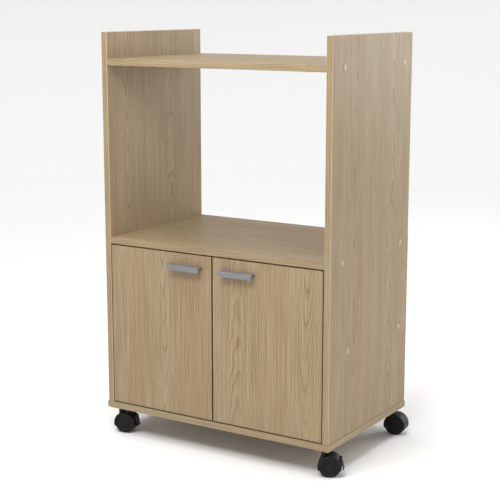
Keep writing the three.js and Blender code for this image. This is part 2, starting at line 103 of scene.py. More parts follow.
class CART_PG_laminate(bpy.types.PropertyGroup):
    """The printed wood figure of the boards, and the painted light on their rounded edges"""

    pale: colour("Pale wood", "Greyish ground colour of the print", (0.339, 0.266, 0.160))
    warm: colour("Warm wood", "Colour of the warmer bands", (0.333, 0.238, 0.138))
    line: colour("Ring line", "Colour of the growth rings", (0.150, 0.082, 0.036))
    # The edge colour is a painted highlight: the light that the side panels' rounded corners catch,
    # painted into their colour.
    edge: colour("Edge", "Colour of the side panels' worn corners", (0.560, 0.480, 0.350))
    # This colour is painted shade: the shade of the gaps round a door, painted onto its rounded edges
    # and onto the front of the edge where the doors meet.
    seam: colour("Seam", "Colour of the seam round a door's face", (0.085, 0.052, 0.030))
    ring_spacing: length("Ring spacing", "Distance between growth rings", 5.0 * MM)
    ring_strength: share("Ring strength", "Darkness of the growth rings", 0.44)
    figure_pitch: length("Figure pitch", "Distance between two columns of arches", 350 * MM)
    arch_round: length("Arch rounding", "Rounding of the arches' tops", 34 * MM)
    fold_round: length("Fold rounding", "Width over which rings fold between two columns", 50 * MM)
    taper: share("Taper", "How fast the rings close in along the grain", 0.07)
    swell: length("Swell", "How far rings swell along a column", 11 * MM)
    swell_length: length("Swell length", "Length of one swelling", 52 * MM)
    wander: length("Wander", "How far a column wanders to the side", 24 * MM)
    band_width: length("Band width", "Width of a tone band", 42 * MM)
    streak_width: length("Streak width", "Width of the long streaks", 4.2 * MM)
    streak_length: length("Streak length", "Length of the long streaks", 260 * MM)
    fibre_width: length("Fibre width", "Width of the fine fibre lines", 1.1 * MM)
    fibre_length: length("Fibre length", "Length of the fine fibre lines", 60 * MM)
    fleck_width: length("Fleck width", "Width of the short flecks", 1.3 * MM)
    fleck_length: length("Fleck length", "Length of the short flecks", 9 * MM)


class CART_PG_boards(bpy.types.PropertyGroup):
    """Edges of the boards and the nails of the back"""

    edge_radius: length("Edge radius", "Rounding of the carcass boards' edges", 0.9 * MM)
    door_radius: length("Door edge radius", "Rounding of the doors' edges", 0.6 * MM)
    back_radius: length("Back edge radius", "Rounding of the thin back", 0.3 * MM)
    nail_pitch: length("Nail pitch", "Distance between the nails of the back", 95 * MM)
    nail_inset: length("Nail inset", "Nails from the edge of the back", 6.5 * MM)
    nail_head: length("Nail head", "Diameter of a nail head", 4 * MM)


class CART_PG_hardware(bpy.types.PropertyGroup):
    """Handles, caps, screws, pivots and catch"""

    handle_lip: length("Handle lip", "Thickness of the handle's front lip", 5 * MM)
    handle_top: length("Handle top", "Thickness of the handle's top", 4 * MM)
    handle_end: length("Handle end", "Width and height of the blocks at a handle's ends", 8 * MM)
    handle_round: length("Handle rounding", "Rounding of the handle's upper front edge", 2 * MM)
    handle_radius: length("Handle edge", "Rounding of the handle's other edges", 0.6 * MM)
    cap_rim: length("Cap rim", "Straight edge below a cap's dome", 0.5 * MM)
    screw_head: length("Screw head", "Diameter of a pan head", 7.6 * MM)
    screw_rise: length("Screw rise", "Height of a pan head", 1.9 * MM)
    pin_diameter: length("Pin", "Diameter of a pivot pin in its door", 6 * MM)
    pin_depth: length("Pin depth", "Depth of a pivot pin in its door", 18 * MM)
    spigot_diameter: length("Spigot", "Diameter of a pivot pin in its bush", 4.5 * MM)
    fit: length("Fit", "Clearance between a pin and its seat", 0.3 * MM)
    bush_flange: length("Bush flange", "Width of a bush's flange", 2 * MM)
    flange_rise: length("Flange rise", "Thickness of a bush's flange", 1 * MM)
    magnet_rise: length("Magnet rise", "Magnets stand out of the catch by this", 1.2 * MM)
    magnet_width: length("Magnet width", "Width of a magnet", 15 * MM)
    magnet_height: length("Magnet height", "Height of a magnet with its pole plates", 7 * MM)
    ear_length: length("Catch ear", "Length of the catch's screw ears", 9 * MM)
    ear_thickness: length("Ear thickness", "Thickness of the screw ears", 2.4 * MM)


class CART_PG_casters(bpy.types.PropertyGroup):
    """Hood, wheels, plate and brake lever of a caster"""

    web: length("Web", "Thickness of the hood between its wheels", 4.6 * MM)
    side_gap: length("Side gap", "Between a wheel and the hood beside it", 0.4 * MM)
    rim_gap: length("Rim gap", "Between a wheel's tread and the hood", 1 * MM)
    wall: length("Hood wall", "Thickness of the hood", 1.5 * MM)
    ease: length("Hood rounding", "Rounding of the hood's outer edges", 2.2 * MM)
    skirt: length("Hood skirt", "The hood reaches this far below the axle", 8 * MM)
    lip: length("Lip", "The hood's lips cover this much of a wheel's rim", 2.2 * MM)
    neck: length("Neck", "Diameter of the hood's neck", 15 * MM)
    kingpin: length("Kingpin", "Diameter of the swivel pin", 7 * MM)
    raceway: length("Raceway", "Diameter of the swivel's raceway", 26 * MM)
    raceway_depth: length("Raceway depth", "Depth of the swivel's raceway", 2 * MM)
    plate_corner: length("Plate corner", "Corner radius of the mounting plate", 5 * MM)
    hole_pitch: length("Hole pitch", "Between the plate's screw holes", 27 * MM)
    hole: length("Screw hole", "Diameter of the plate's screw holes", 4.5 * MM)
    axle: length("Axle", "Diameter of the axle", 6 * MM)
    wheel_width: length("Wheel width", "Width of one wheel", 13.5 * MM)
    rim: length("Rim", "Width of the raised ring on a wheel's face", 4 * MM)
    hub_wall: length("Hub wall", "Wall of the raised hub round the axle", 4 * MM)
    dish: length("Dish", "Depth of a wheel's face between ring and hub", 1.4 * MM)
    shoulder: length("Shoulder", "Rounding of the tread's outer edge", 1.6 * MM)
    rib_width: length("Rib width", "Width of the ribs on a wheel's face", 1.3 * MM)
    ribs: IntProperty(name="Ribs", description="Ribs on a wheel's face", default=9, min=3)
    lever_width: length("Lever width", "Width of the brake lever", 19 * MM)
    lever_barrel: length("Lever barrel", "Diameter of the lever's barrel", 4.6 * MM)
    lever_pin: length("Lever pin", "Diameter of the lever's pin", 2 * MM)
    lever_gap: length("Lever gap", "Between the lever and the hood when pressed", 0.4 * MM)
    lever_step: length("Lever step", "The lever's tip stands off the hood by this", 3.2 * MM)
    lever_nose: length("Lever nose", "Thickness of the lever's tip", 2 * MM)
    lever_tip: turn("Lever tip", "Of the pressed lever's tip, from the axle's level", -15)
    lug_thickness: length("Lug", "Thickness of the lugs beside the lever", 2.2 * MM)
    lug_spread: turn("Lug spread", "Half the angle that a lug takes up on the hood", 9)


class CART_PG_stage(bpy.types.PropertyGroup):
    """Camera, lights and floor"""

    camera: FloatVectorProperty(
        name="Camera",
        description="Place of the camera",
        default=(1.5319, -2.4710, 1.0180),
        size=3,
        unit="LENGTH",
    )
    yaw: turn("Yaw", "The camera looks this far to the left of +Y", 32.20)
    pitch: turn("Pitch", "The camera looks this far down", 11.08)
    lens: number("Lens", "Focal length in mm", 91.1, min=1.0, unit="CAMERA")
    front_power: number("Front", "Power of the front light", 23.0, min=0.0, unit="POWER")
    side_power: number("Side", "Power of the side light", 29.0, min=0.0, unit="POWER")
    overhead: number("Overhead", "Strength of the light above", 1.7, min=0.0)
    sky: number("Sky", "Brightness of the surroundings", 0.42, min=0.0)
    floor_colour: colour("Floor", "Colour of the floor", (0.88, 0.88, 0.877))
    floor_flat: length("Flat floor", "Radius of the floor's level part", 5.0)
    floor_rise: length("Floor rise", "Radius of the bend in which the floor rises at its rim", 5.0)


# ---- Shapes ---------------------------------------------------------------------------------


def polar(radius, angle):
    return (radius * math.cos(angle), radius * math.sin(angle))


def arc(x, y, radius, start, end, steps):
    """Points on a circle about (x, y), from one angle to the other."""
    angles = [start + (end - start) * step / steps for step in range(steps + 1)]
    return [(x + radius * math.cos(angle), y + radius * math.sin(angle)) for angle in angles]


def facing_out(shape):
    """Turns the faces of a closed shape outwards."""
    bmesh.ops.recalc_face_normals(shape, faces=shape.faces)
    return shape


def joined(shape, rows):
    """Joins each closed row of points to the next by a band of faces; a row of one point is a pole."""
    for low, high in zip(rows, rows[1:]):
        count = max(len(low), len(high))
        for here in range(count):
            after = (here + 1) % count
            corners = [low[here % len(low)], low[after % len(low)]]
            corners += [high[after % len(high)], high[here % len(high)]]
            corners = list(dict.fromkeys(corners))
            if len(corners) > 2:
                shape.faces.new(corners)
    return shape


def lathe(profile, steps):
    """A closed solid of revolution about Z, from (radius, z) pairs that start and end on the axis."""
    shape = bmesh.new()
    angles = [2 * math.pi * step / steps for step in range(steps)]
    rows = []
    for radius, z in profile:
        row = angles if radius > 0 else angles[:1]
        rows.append([shape.verts.new((*polar(radius, angle), z)) for angle in row])
    return facing_out(joined(shape, rows))


def rod(radius, low, high, steps):
    """A round rod about Z from one level to the other."""
    return lathe([(0, low), (radius, low), (radius, high), (0, high)], steps)


def swept_ring(section, steps):
    """A ring about Z with a closed section of (radius, z) pairs."""
    shape = bmesh.new()
    rows = []
    for step in range(steps):
        angle = 2 * math.pi * step / steps
        rows.append([shape.verts.new((*polar(radius, angle), z)) for radius, z in section])
    return facing_out(joined(shape, [*rows, rows[0]]))


def prism(outline, low, high):
    """The outline in the X-Y plane, extruded from one level to the other."""
    shape = bmesh.new()
    floor, roof = ([shape.verts.new((x, y, level)) for x, y in outline] for level in (low, high))
    shape.faces.new(floor[::-1])
    shape.faces.new(roof)
    return facing_out(joined(shape, [floor, roof]))


def block(low, high):
    """A box between two corners."""
    low, high = Vector(low), Vector(high)
    shape = bmesh.new()
    place = Matrix.Translation((low + high) / 2) @ Matrix.Diagonal((*(high - low), 1))
    bmesh.ops.create_cube(shape, size=1, matrix=place)
    return shape


def moved(shape, matrix):
    bmesh.ops.transform(shape, matrix=matrix, verts=shape.verts)
    return shape


def shifted(shape, x, y, z=0.0):
    return moved(shape, Matrix.Translation((x, y, z)))


def laid_across(shape):
    """Mirrors a solid drawn about Z so that its Z becomes Y and its Y becomes Z."""
    return moved(shape, Matrix.Rotation(QUARTER, 4, "X") @ Matrix.Diagonal((1, 1, -1, 1)))


def cross_rod(radius, start, end, steps):
    """A rod along Y."""
    return laid_across(rod(radius, start, end, steps))


def shaded(shape):
    """Marks every face as smooth."""
    for face in shape.faces:
        face.smooth = True
    return shape


def softened(shape, radius, steps=3, least_angle=math.radians(35)):
    """Rounds every edge that is sharper than the angle."""
    edges = [edge for edge in shape.edges if edge.calc_face_angle(0) > least_angle]
    how = {"segments": steps, "profile": 0.5, "affect": "EDGES", "clamp_overlap": True}
    bmesh.ops.bevel(shape, geom=edges, offset=radius, **how)
    return shape


def scratch_object(mesh):
    thing = bpy.data.objects.new("scratch", mesh)
    bpy.context.scene.collection.objects.link(thing)
    return thing


def as_object(shape):
    """A bmesh as an object of the scene; the bmesh is freed."""
    mesh = bpy.data.meshes.new("scratch")
    shape.to_mesh(mesh)
    shape.free()
    return scratch_object(mesh)


def evaluated(thing):
    """The object's mesh with its modifiers applied."""
    depsgraph = bpy.context.evaluated_depsgraph_get()
    return bpy.data.meshes.new_from_object(thing.evaluated_get(depsgraph))


def discard(*things):
    for thing in things:
        mesh = thing.data
        bpy.data.objects.remove(thing)
        bpy.data.meshes.remove(mesh)


def combined(base, *steps):
    """The solid joined with or cut by others; each step is an operation and a shape."""
    host = as_object(base)
    tools = []
    for operation, shape in steps:
        tool = as_object(shape)
        modifier = host.modifiers.new(operation, "BOOLEAN")
        modifier.operation = operation
        modifier.solver = "EXACT"
        modifier.object = tool
        tools.append(tool)
    mesh = evaluated(host)
    discard(host, *tools)
    shape = bmesh.new()
    shape.from_mesh(mesh)
    bpy.data.meshes.remove(mesh)
    return shape


def solid_mesh(name, parts, place=None):
    """One mesh from (shape, material) pairs, moved to its place, with soft shading on its curves."""
    whole = bmesh.new()
    for index, (shape, _) in enumerate(parts):
        for face in shaded(shape).faces:
            face.material_index = index
        piece = bpy.data.meshes.new("scratch")
        shape.to_mesh(piece)
        shape.free()
        whole.from_mesh(piece)
        bpy.data.meshes.remove(piece)
    if place is not None:
        moved(whole, place)
    mesh = bpy.data.meshes.new(name)
    whole.to_mesh(mesh)
    whole.free()
    for _, material in parts:
        mesh.materials.append(material)
    mesh.set_sharp_from_angle(angle=SMOOTH_ANGLE)
    host = scratch_object(mesh)
    host.modifiers.new("normals", "WEIGHTED_NORMAL").keep_sharp = True
    finished = evaluated(host)
    discard(host)
    finished.name = name
    return finished


def add_piece(name, mesh, body, stands_for=()):
    """A finished piece: it rides on its body and takes the place of the nodes it stands for."""
    if not mesh.polygons:
        raise RuntimeError(f"{name} has no faces")
    piece = bpy.data.objects.new(name, mesh)
    bpy.context.scene.collection.objects.link(piece)
    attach(piece, body)
    if stands_for:
        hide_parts(*stands_for)


def replace_node(node_name, parts, body, place=None):
    """A finished piece of (shape, material) pairs that takes the place of one node."""
    name = node_name + "_finished"
    add_piece(name, solid_mesh(name, parts, place), body, [node_name])


# ---- Geometry Nodes -------------------------------------------------------------------------


def new_tree(name, inputs):
    """A node tree with a geometry in and out, and the named inputs."""
    tree = bpy.data.node_groups.new(name, "GeometryNodeTree")
    tree.interface.new_socket("Geometry", in_out="INPUT", socket_type="NodeSocketGeometry")
    for label, kind in inputs.items():
        tree.interface.new_socket(label, in_out="INPUT", socket_type=kind)
    tree.interface.new_socket("Geometry", in_out="OUTPUT", socket_type="NodeSocketGeometry")
    return tree, tree.nodes.new("NodeGroupInput"), tree.nodes.new("NodeGroupOutput")


def node(tree, kind, inputs=None, **settings):
    """A node whose settings and inputs are set; a socket is linked, and so is a node's first output."""
    made = tree.nodes.new(kind)
    for name, value in settings.items():
        setattr(made, name, value)
    for key, value in (inputs or {}).items():
        if isinstance(value, bpy.types.Node):
            value = value.outputs[0]
        if isinstance(value, bpy.types.NodeSocket):
            tree.links.new(value, made.inputs[key])
        else:
            made.inputs[key].default_value = value
    return made


def math_node(tree, operation, *values):
    """The result of one operation on sockets or numbers."""
    return node(tree, "ShaderNodeMath", dict(enumerate(values)), operation=operation).outputs[0]


def realized(tree, instances, finish):
    """Instances as plain geometry of one material."""
    real = node(tree, "GeometryNodeRealizeInstances", {"Geometry": instances})
    return node(tree, "GeometryNodeSetMaterial", {"Geometry": real, "Material": finish}).outputs[0]


def fastener_tree():
    """Sets one fastener on each point, facing along the point's own direction, spun at random."""
    inputs = {
        "Fastener": "NodeSocketObject",
        "Size": "NodeSocketFloat",
        "Spin": "NodeSocketFloat",
        "Seed": "NodeSocketInt",
        "Finish": "NodeSocketMaterial",
    }
    tree, entry, result = new_tree("Fasteners on points", inputs)
    given = entry.outputs
    facing = node(tree, "GeometryNodeInputNamedAttribute", {"Name": "facing"}, data_type="FLOAT_VECTOR")
    upright = {"Vector": facing.outputs["Attribute"]}
    upright = node(tree, "FunctionNodeAlignRotationToVector", upright, axis="Z")
    chance = node(tree, "FunctionNodeRandomValue", {"Seed": given["Seed"]}, data_type="FLOAT")
    angle = math_node(tree, "MULTIPLY", chance.outputs["Value"], given["Spin"])
    spin = node(tree, "FunctionNodeAxisAngleToRotation", {"Axis": (0, 0, 1), "Angle": angle})
    turned = {"Rotation": upright, "Rotate By": spin}
    turned = node(tree, "FunctionNodeRotateRotation", turned, rotation_space="LOCAL")
    source = node(tree, "GeometryNodeObjectInfo", {"Object": given["Fastener"]})
    placed = {
        "Points": given["Geometry"],
        "Instance": source.outputs["Geometry"],
        "Rotation": turned,
        "Scale": given["Size"],
    }
    placed = node(tree, "GeometryNodeInstanceOnPoints", placed)
    tree.links.new(realized(tree, placed, given["Finish"]), result.inputs["Geometry"])
    return tree


def rib_tree():
    """Adds a star of ribs to a wheel that lies about Z."""
    sizes = ("Inner Radius", "Outer Radius", "Width", "Height", "Level")
    inputs = {"Ribs": "NodeSocketInt", **dict.fromkeys(sizes, "NodeSocketFloat")}
    inputs["Finish"] = "NodeSocketMaterial"
    tree, entry, result = new_tree("Ribs on a wheel", inputs)
    given = entry.outputs
    inner, outer = given["Inner Radius"], given["Outer Radius"]
    middle = math_node(tree, "MULTIPLY", math_node(tree, "ADD", inner, outer), 0.5)
    circle = node(tree, "GeometryNodeMeshCircle", {"Vertices": given["Ribs"], "Radius": middle})
    reach = math_node(tree, "SUBTRACT", outer, inner)
    size = node(tree, "ShaderNodeCombineXYZ", {"X": reach, "Y": given["Width"], "Z": given["Height"]})
    rib = node(tree, "GeometryNodeMeshCube", {"Size": size})
    place = node(tree, "GeometryNodeInputPosition")
    away = node(tree, "FunctionNodeAlignRotationToVector", {"Vector": place}, axis="X")
    placed = {"Points": circle, "Instance": rib, "Rotation": away}
    placed = node(tree, "GeometryNodeInstanceOnPoints", placed)
    lift = node(tree, "ShaderNodeCombineXYZ", {"Z": given["Level"]})
    raised = node(tree, "GeometryNodeTransform", {"Geometry": placed, "Translation": lift})
    both = node(tree, "GeometryNodeJoinGeometry")
    for part in (given["Geometry"], realized(tree, raised, given["Finish"])):
        tree.links.new(part, both.inputs["Geometry"])
    tree.links.new(both.outputs["Geometry"], result.inputs["Geometry"])
    return tree


def grown(host, tree, values):
    """The host's mesh after the tree, with the tree's named inputs set."""
    modifier = host.modifiers.new(tree.name, "NODES")
    modifier.node_group = tree
    sockets = {s.name: s.identifier for s in tree.interface.items_tree if s.in_out == "INPUT"}
    for label, value in values.items():
        modifier[sockets[label]] = value
    return evaluated(host)


def shared_tree(name, maker):
    return bpy.data.node_groups.get(name) or maker()


def add_fasteners(name, head, seats, body, finish="zinc_plate", stands_for=(), seed=7):
    """One piece with the head on each seat; a seat is a place and the way that it faces."""
    points = bpy.data.meshes.new(name)
    points.from_pydata([place for place, _ in seats], [], [])
    facing = points.attributes.new("facing", "FLOAT_VECTOR", "POINT")
    facing.data.foreach_set("vector", [part for _, way in seats for part in way])
    host, source = scratch_object(points), as_object(head)
    values = {
        "Fastener": source,
        "Size": 1.0,
        "Spin": 2 * math.pi,
        "Seed": seed,
        "Finish": shared(finish),
    }
    mesh = grown(host, shared_tree("Fasteners on points", fastener_tree), values)
    discard(host, source)
    mesh.name = name
    mesh.set_sharp_from_angle(angle=SMOOTH_ANGLE)
    add_piece(name, mesh, body, stands_for)


# ---- Materials ------------------------------------------------------------------------------

FIBRE_SHADES = (0.92, 1.06)  # the print's brightness in and between its fibres
STREAK_SHADES = (0.86, 1.14)  # the same for its streaks
FIBRE_ROUGHNESS = (0.50, 0.38)
BROWNER = {"X": 0.9, "Y": 1.1, "Z": 1.3}  # a shade's power in red, green and blue
# The rounded edges' colour is painted light: a highlight on the side panels, shade round the doors.
EDGE_PAINT_SHARE = 0.8  # how much of the corner's colour a rounded edge takes


def new_material(name, colour, roughness, metallic=0.0):
    """A material with one shader, and the coordinates that its detail reads."""
    material = bpy.data.materials.new(name)
    material.use_nodes = True
    tree = material.node_tree
    tree.nodes.clear()
    output = tree.nodes.new("ShaderNodeOutputMaterial")
    shader = node(tree, "ShaderNodeBsdfPrincipled", {"Roughness": roughness, "Metallic": metallic})
    shader.inputs["Base Color"].default_value = (*colour, 1)
    tree.links.new(shader.outputs["BSDF"], output.inputs["Surface"])
    place = tree.nodes.new("ShaderNodeTexCoord").outputs["Object"]
    return material, tree, shader, place


def stretched(tree, place, size):
    """Coordinates in which one unit is the given size along each axis."""
    return node(tree, "ShaderNodeMapping", {"Vector": place, "Scale": [1 / edge for edge in size]})


def even(size):
    return (size, size, size)


def on_print(width, length):
    """The size of a grain on a print, which has no third direction."""
    return (width, 1, length)


def noise(tree, place, size, detail=2.0, roughness=0.5):
    """Smooth noise from 0 to 1 whose grains have the given size."""
    inputs = {"Vector": stretched(tree, place, size), "Scale": 1.0}
    inputs |= {"Detail": detail, "Roughness": roughness}
    return node(tree, "ShaderNodeTexNoise", inputs).outputs["Fac"]


def between(tree, value, low, high, to_low=0.0, to_high=1.0):
    """Fades from one value to another as the input crosses a range."""
    inputs = {"Value": value, "From Min": low, "From Max": high, "To Min": to_low, "To Max": to_high}
    return node(tree, "ShaderNodeMapRange", inputs, interpolation_type="SMOOTHSTEP").outputs["Result"]


def blended(tree, amount, first, second, blend_type="MIX"):
    """Two colours mixed by an amount; each can be a socket or a value."""
    made = node(tree, "ShaderNodeMix", data_type="RGBA", blend_type=blend_type)
    for name, value in (("Factor_Float", amount), ("A_Color", first), ("B_Color", second)):
        socket = next(s for s in made.inputs if s.identifier == name)
        if isinstance(value, bpy.types.NodeSocket):
            tree.links.new(value, socket)
        elif hasattr(value, "__len__"):
            socket.default_value = (*value, 1)
        else:
            socket.default_value = value
    return next(s for s in made.outputs if s.identifier == "Result_Color")


def finish_surface(tree, shader, tint, rough, height, strength, distance):
    """Gives the shader its colour, its roughness and its relief."""
    bump = node(tree, "ShaderNodeBump", {"Height": height, "Strength": strength, "Distance": distance})
    for value, name in ((tint, "Base Color"), (rough, "Roughness"), (bump.outputs["Normal"], "Normal")):
        tree.links.new(value, shader.inputs[name])


def spread_about(tree, value, reach):
    """Noise from 0 to 1 as a shift to either side, over the given reach in all."""
    return math_node(tree, "MULTIPLY", math_node(tree, "SUBTRACT", value, 0.5), reach)


def print_coordinates(tree, place, low, grain, width):
    """Where a point lies on a board's print: across the grain and along it, from the low corner.

    The print wraps round the board's long edges. On the end bands the grain follows the width.
    """
    split = node(tree, "ShaderNodeSeparateXYZ", {"Vector": place}).outputs
    thick = next(axis for axis in "XYZ" if axis not in (grain, width))
    part = {axis: math_node(tree, "SUBTRACT", split[axis], low["XYZ".index(axis)]) for axis in "XYZ"}
    end = node(tree, "ShaderNodeAttribute", attribute_name="end_band").outputs["Fac"]
    swapped = math_node(tree, "MULTIPLY", end, math_node(tree, "SUBTRACT", part[grain], part[width]))
    across = math_node(tree, "ADD", math_node(tree, "ADD", part[width], part[thick]), swapped)
    return across, math_node(tree, "SUBTRACT", part[grain], swapped)


def growth_rings(tree, look, across, along, plane):
    """Lines that arch in columns and fold between them, from 0 to 1 as a ring darkens."""
    drift = noise(tree, plane, on_print(width=120 * MM, length=300 * MM))
    across = math_node(tree, "ADD", across, spread_about(tree, drift, look.wander))
    rise = math_node(tree, "FLOORED_MODULO", across, look.figure_pitch)
    fall = math_node(tree, "SUBTRACT", look.figure_pitch, rise)
    offset = math_node(tree, "SMOOTH_MIN", rise, fall, look.fold_round)
    pair = node(tree, "ShaderNodeCombineXYZ", {"X": offset, "Y": look.arch_round})
    radius = node(tree, "ShaderNodeVectorMath", {0: pair}, operation="LENGTH").outputs["Value"]
    radius = math_node(tree, "ADD", radius, math_node(tree, "MULTIPLY", along, look.taper))

    swell = noise(tree, plane, on_print(width=38 * MM, length=look.swell_length), detail=1.0)
    swell = spread_about(tree, swell, look.swell)
    near = between(tree, offset, 12 * MM, 60 * MM, 1.0, 0.35)
    ripple = noise(tree, plane, on_print(width=11 * MM, length=45 * MM))
    ripple = spread_about(tree, ripple, reach=2.2 * MM)
    radius = math_node(tree, "ADD", radius, math_node(tree, "MULTIPLY", swell, near))
    radius = math_node(tree, "ADD", radius, ripple)
    year = math_node(tree, "FRACT", math_node(tree, "DIVIDE", radius, look.ring_spacing))
    darkens, ends = between(tree, year, 0.42, 0.84), between(tree, year, 0.86, 1.0, 1.0, 0.0)
    return math_node(tree, "MULTIPLY", darkens, ends)


def laminate(name, low, grain, width, column, start, corner):
    """A board's printed wood: growth rings in arches, tone bands, streaks, fibres and flecks, and
    painted light on its rounded edges.

    The grain and the width are the axes in which the board's print runs. A column of arches stands
    at a distance from the board's low corner, and each board starts at its own place of the print.
    """
    look = bpy.context.scene.cart_laminate
    material, tree, shader, place = new_material(name, look.pale, 0.42)
    across, along = print_coordinates(tree, place, low, grain, width)
    across = math_node(tree, "SUBTRACT", across, column)
    along = math_node(tree, "ADD", along, start)
    plane = node(tree, "ShaderNodeCombineXYZ", {"X": across, "Z": along})

    ring = growth_rings(tree, look, across, along, plane)
    patch = noise(tree, plane, on_print(width=22 * MM, length=150 * MM))
    ring = math_node(tree, "MULTIPLY", ring, between(tree, patch, 0.34, 0.66, 0.3, 1.0))
    ring = math_node(tree, "MULTIPLY", ring, look.ring_strength)
    tone = noise(tree, plane, on_print(look.band_width, length=1.6))
    streak = noise(tree, plane, on_print(look.streak_width, look.streak_length), roughness=0.7)
    fibre = noise(tree, plane, on_print(look.fibre_width, look.fibre_length), detail=3.0, roughness=0.6)
    fleck = noise(tree, plane, on_print(look.fleck_width, look.fleck_length), detail=1.0)

    wood = blended(tree, between(tree, tone, 0.38, 0.62), look.pale, look.warm)
    wood = blended(tree, ring, wood, look.line)
    wood = blended(tree, between(tree, fleck, 0.62, 0.74, 0.0, 0.35), wood, look.line)
    shade = between(tree, fibre, 0.25, 0.75, *FIBRE_SHADES)
    shade = math_node(tree, "MULTIPLY", shade, between(tree, streak, 0.3, 0.7, *STREAK_SHADES))
    browner = {axis: math_node(tree, "POWER", shade, power) for axis, power in BROWNER.items()}
    shades = node(tree, "ShaderNodeCombineXYZ", browner).outputs["Vector"]
    wood = blended(tree, 1.0, wood, shades, "MULTIPLY")
    # Painted light on the rounded edges: the corner colour is a painted highlight on a side panel and
    # painted shade on a door.
    rounded = node(tree, "ShaderNodeAttribute", attribute_name="rounded_edge").outputs["Fac"]
    wood = blended(tree, math_node(tree, "MULTIPLY", rounded, EDGE_PAINT_SHARE), wood, corner)
    shader.inputs["Specular IOR Level"].default_value = 0.22
    rough = between(tree, fibre, 0.2, 0.8, *FIBRE_ROUGHNESS)
    finish_surface(tree, shader, wood, rough, fibre, 0.12, 0.05 * MM)
    return material


def fibreboard(name):
    """Raw brown hardboard with fine felted fibres."""
    material, tree, shader, place = new_material(name, (0.25, 0.17, 0.10), 0.8)
    mottle = noise(tree, place, even(18 * MM), 4.0, 0.6)
    felt = noise(tree, place, (1.6 * MM, 1.6 * MM, 0.9 * MM), 4.0, 0.7)
    brown = blended(tree, between(tree, mottle, 0.3, 0.7), (0.28, 0.19, 0.11), (0.21, 0.14, 0.08))
    brown = blended(tree, between(tree, felt, 0.55, 0.75, 0.0, 0.4), brown, (0.42, 0.31, 0.20))
    rough = between(tree, felt, 0.3, 0.7, 0.88, 0.70)
    finish_surface(tree, shader, brown, rough, felt, 0.5, 0.15 * MM)
    return material


def scaled(colour, factor):
    return [min(1.0, channel * factor) for channel in colour]


def moulded(name, colour, roughness, grain=0.5 * MM, fade=0.12, scuffed=0.0, gloss=0.5):
    """Moulded plastic: a fine spark texture, a slight unevenness of colour and, if asked, scuffs."""
    material, tree, shader, place = new_material(name, colour, roughness)
    shader.inputs["Specular IOR Level"].default_value = gloss
    cloud = noise(tree, place, even(14 * MM), 3.0)
    texture = noise(tree, place, even(grain), 2.0, 0.6)
    deep, light = scaled(colour, 1 - fade), scaled(colour, 1 + fade)
    tint = blended(tree, between(tree, cloud, 0.3, 0.7), deep, light)
    if scuffed:
        scuff = noise(tree, place, (2.4 * MM, 2.4 * MM, 5 * MM), 4.0, 0.7)
        tint = blended(tree, between(tree, scuff, 0.52, 0.74, 0.0, scuffed), tint, (0.23, 0.22, 0.20))
    rough = between(tree, texture, 0.25, 0.75, roughness - 0.06, roughness + 0.10)
    finish_surface(tree, shader, tint, rough, texture, 0.35, 0.04 * MM)
    return material


def brushed(name, colour, roughness, grain, metallic):
    """Metal brushed along X, with marks of the given length and width."""
    material, tree, shader, place = new_material(name, colour, roughness, metallic)
    mark, width = grain
    streak = noise(tree, place, (mark, width, width), 4.0, 0.65)
    cloud = noise(tree, place, even(9 * MM))
    dull, bright = scaled(colour, 0.70), scaled(colour, 1.25)
    tint = blended(tree, between(tree, streak, 0.25, 0.75), dull, bright)
    tint = blended(tree, between(tree, cloud, 0.35, 0.65, 0.0, 0.25), tint, dull)
    rough = between(tree, streak, 0.2, 0.8, roughness + 0.1, roughness - 0.08)
    finish_surface(tree, shader, tint, rough, streak, 0.2, 0.02 * MM)
    return material


def plated(name, colour, roughness):
    """Plated or browned steel: faint crystals of slightly different brightness, and dull clouds."""
    material, tree, shader, place = new_material(name, colour, roughness, 1.0)
    crystal = {"Vector": stretched(tree, place, even(2.2 * MM)), "Scale": 1.0}
    crystal = node(tree, "ShaderNodeTexVoronoi", crystal).outputs["Color"]
    tone = node(tree, "ShaderNodeSeparateColor", {"Color": crystal}).outputs["Red"]
    cloud = noise(tree, place, even(6 * MM), 3.0)
    tint = blended(tree, tone, scaled(colour, 0.86), scaled(colour, 1.08))
    dull = [channel * fade for channel, fade in zip(colour, (0.783, 0.763, 0.723))]
    tint = blended(tree, between(tree, cloud, 0.5, 0.8, 0.0, 0.3), tint, dull)
    rough = between(tree, cloud, 0.3, 0.7, roughness - 0.08, roughness + 0.12)
    finish_surface(tree, shader, tint, rough, tone, 0.1, 0.01 * MM)
    return material


BRUSH = (26 * MM, 0.45 * MM)
FINISHES = {
    "raw_hardboard": (fibreboard, {}),
    "cap_plastic": (moulded, {"colour": (0.405, 0.325, 0.205), "roughness": 0.42, "fade": 0.05}),
    "satin_metal": (
        brushed,
        {"colour": (0.256, 0.257, 0.262), "roughness": 0.46, "grain": BRUSH, "metallic": 0.5},
    ),
    "zinc_plate": (plated, {"colour": (0.46, 0.465, 0.47), "roughness": 0.38}),
    "browned_steel": (plated, {"colour": (0.085, 0.078, 0.070), "roughness": 0.42}),
    "brown_nylon": (moulded, {"colour": (0.080, 0.058, 0.040), "roughness": 0.5, "fade": 0.05}),
    "white_nylon": (moulded, {"colour": (0.80, 0.78, 0.72), "roughness": 0.48, "fade": 0.04}),
    "hood_nylon": (
        moulded,
        {"colour": (0.0095, 0.0095, 0.0097), "roughness": 0.46, "grain": 0.7 * MM, "gloss": 0.22},
    ),
    "wheel_nylon": (
        moulded,
        {"colour": (0.0085, 0.0085, 0.0087), "roughness": 0.42, "grain": 1.1 * MM, "gloss": 0.2},
    ),
    "worn_tread": (
        moulded,
        {"colour": (0.010, 0.010, 0.010), "roughness": 0.58, "scuffed": 0.10, "gloss": 0.2},
    ),
    "ferrite": (moulded, {"colour": (0.055, 0.052, 0.050), "roughness": 0.55, "fade": 0.2}),
}


def shared(name):
    """One of the small parts' materials, made when it is first asked for."""
    maker, look = FINISHES[name]
    return bpy.data.materials.get(name) or maker(name, **look)


# ---- Boards ---------------------------------------------------------------------------------

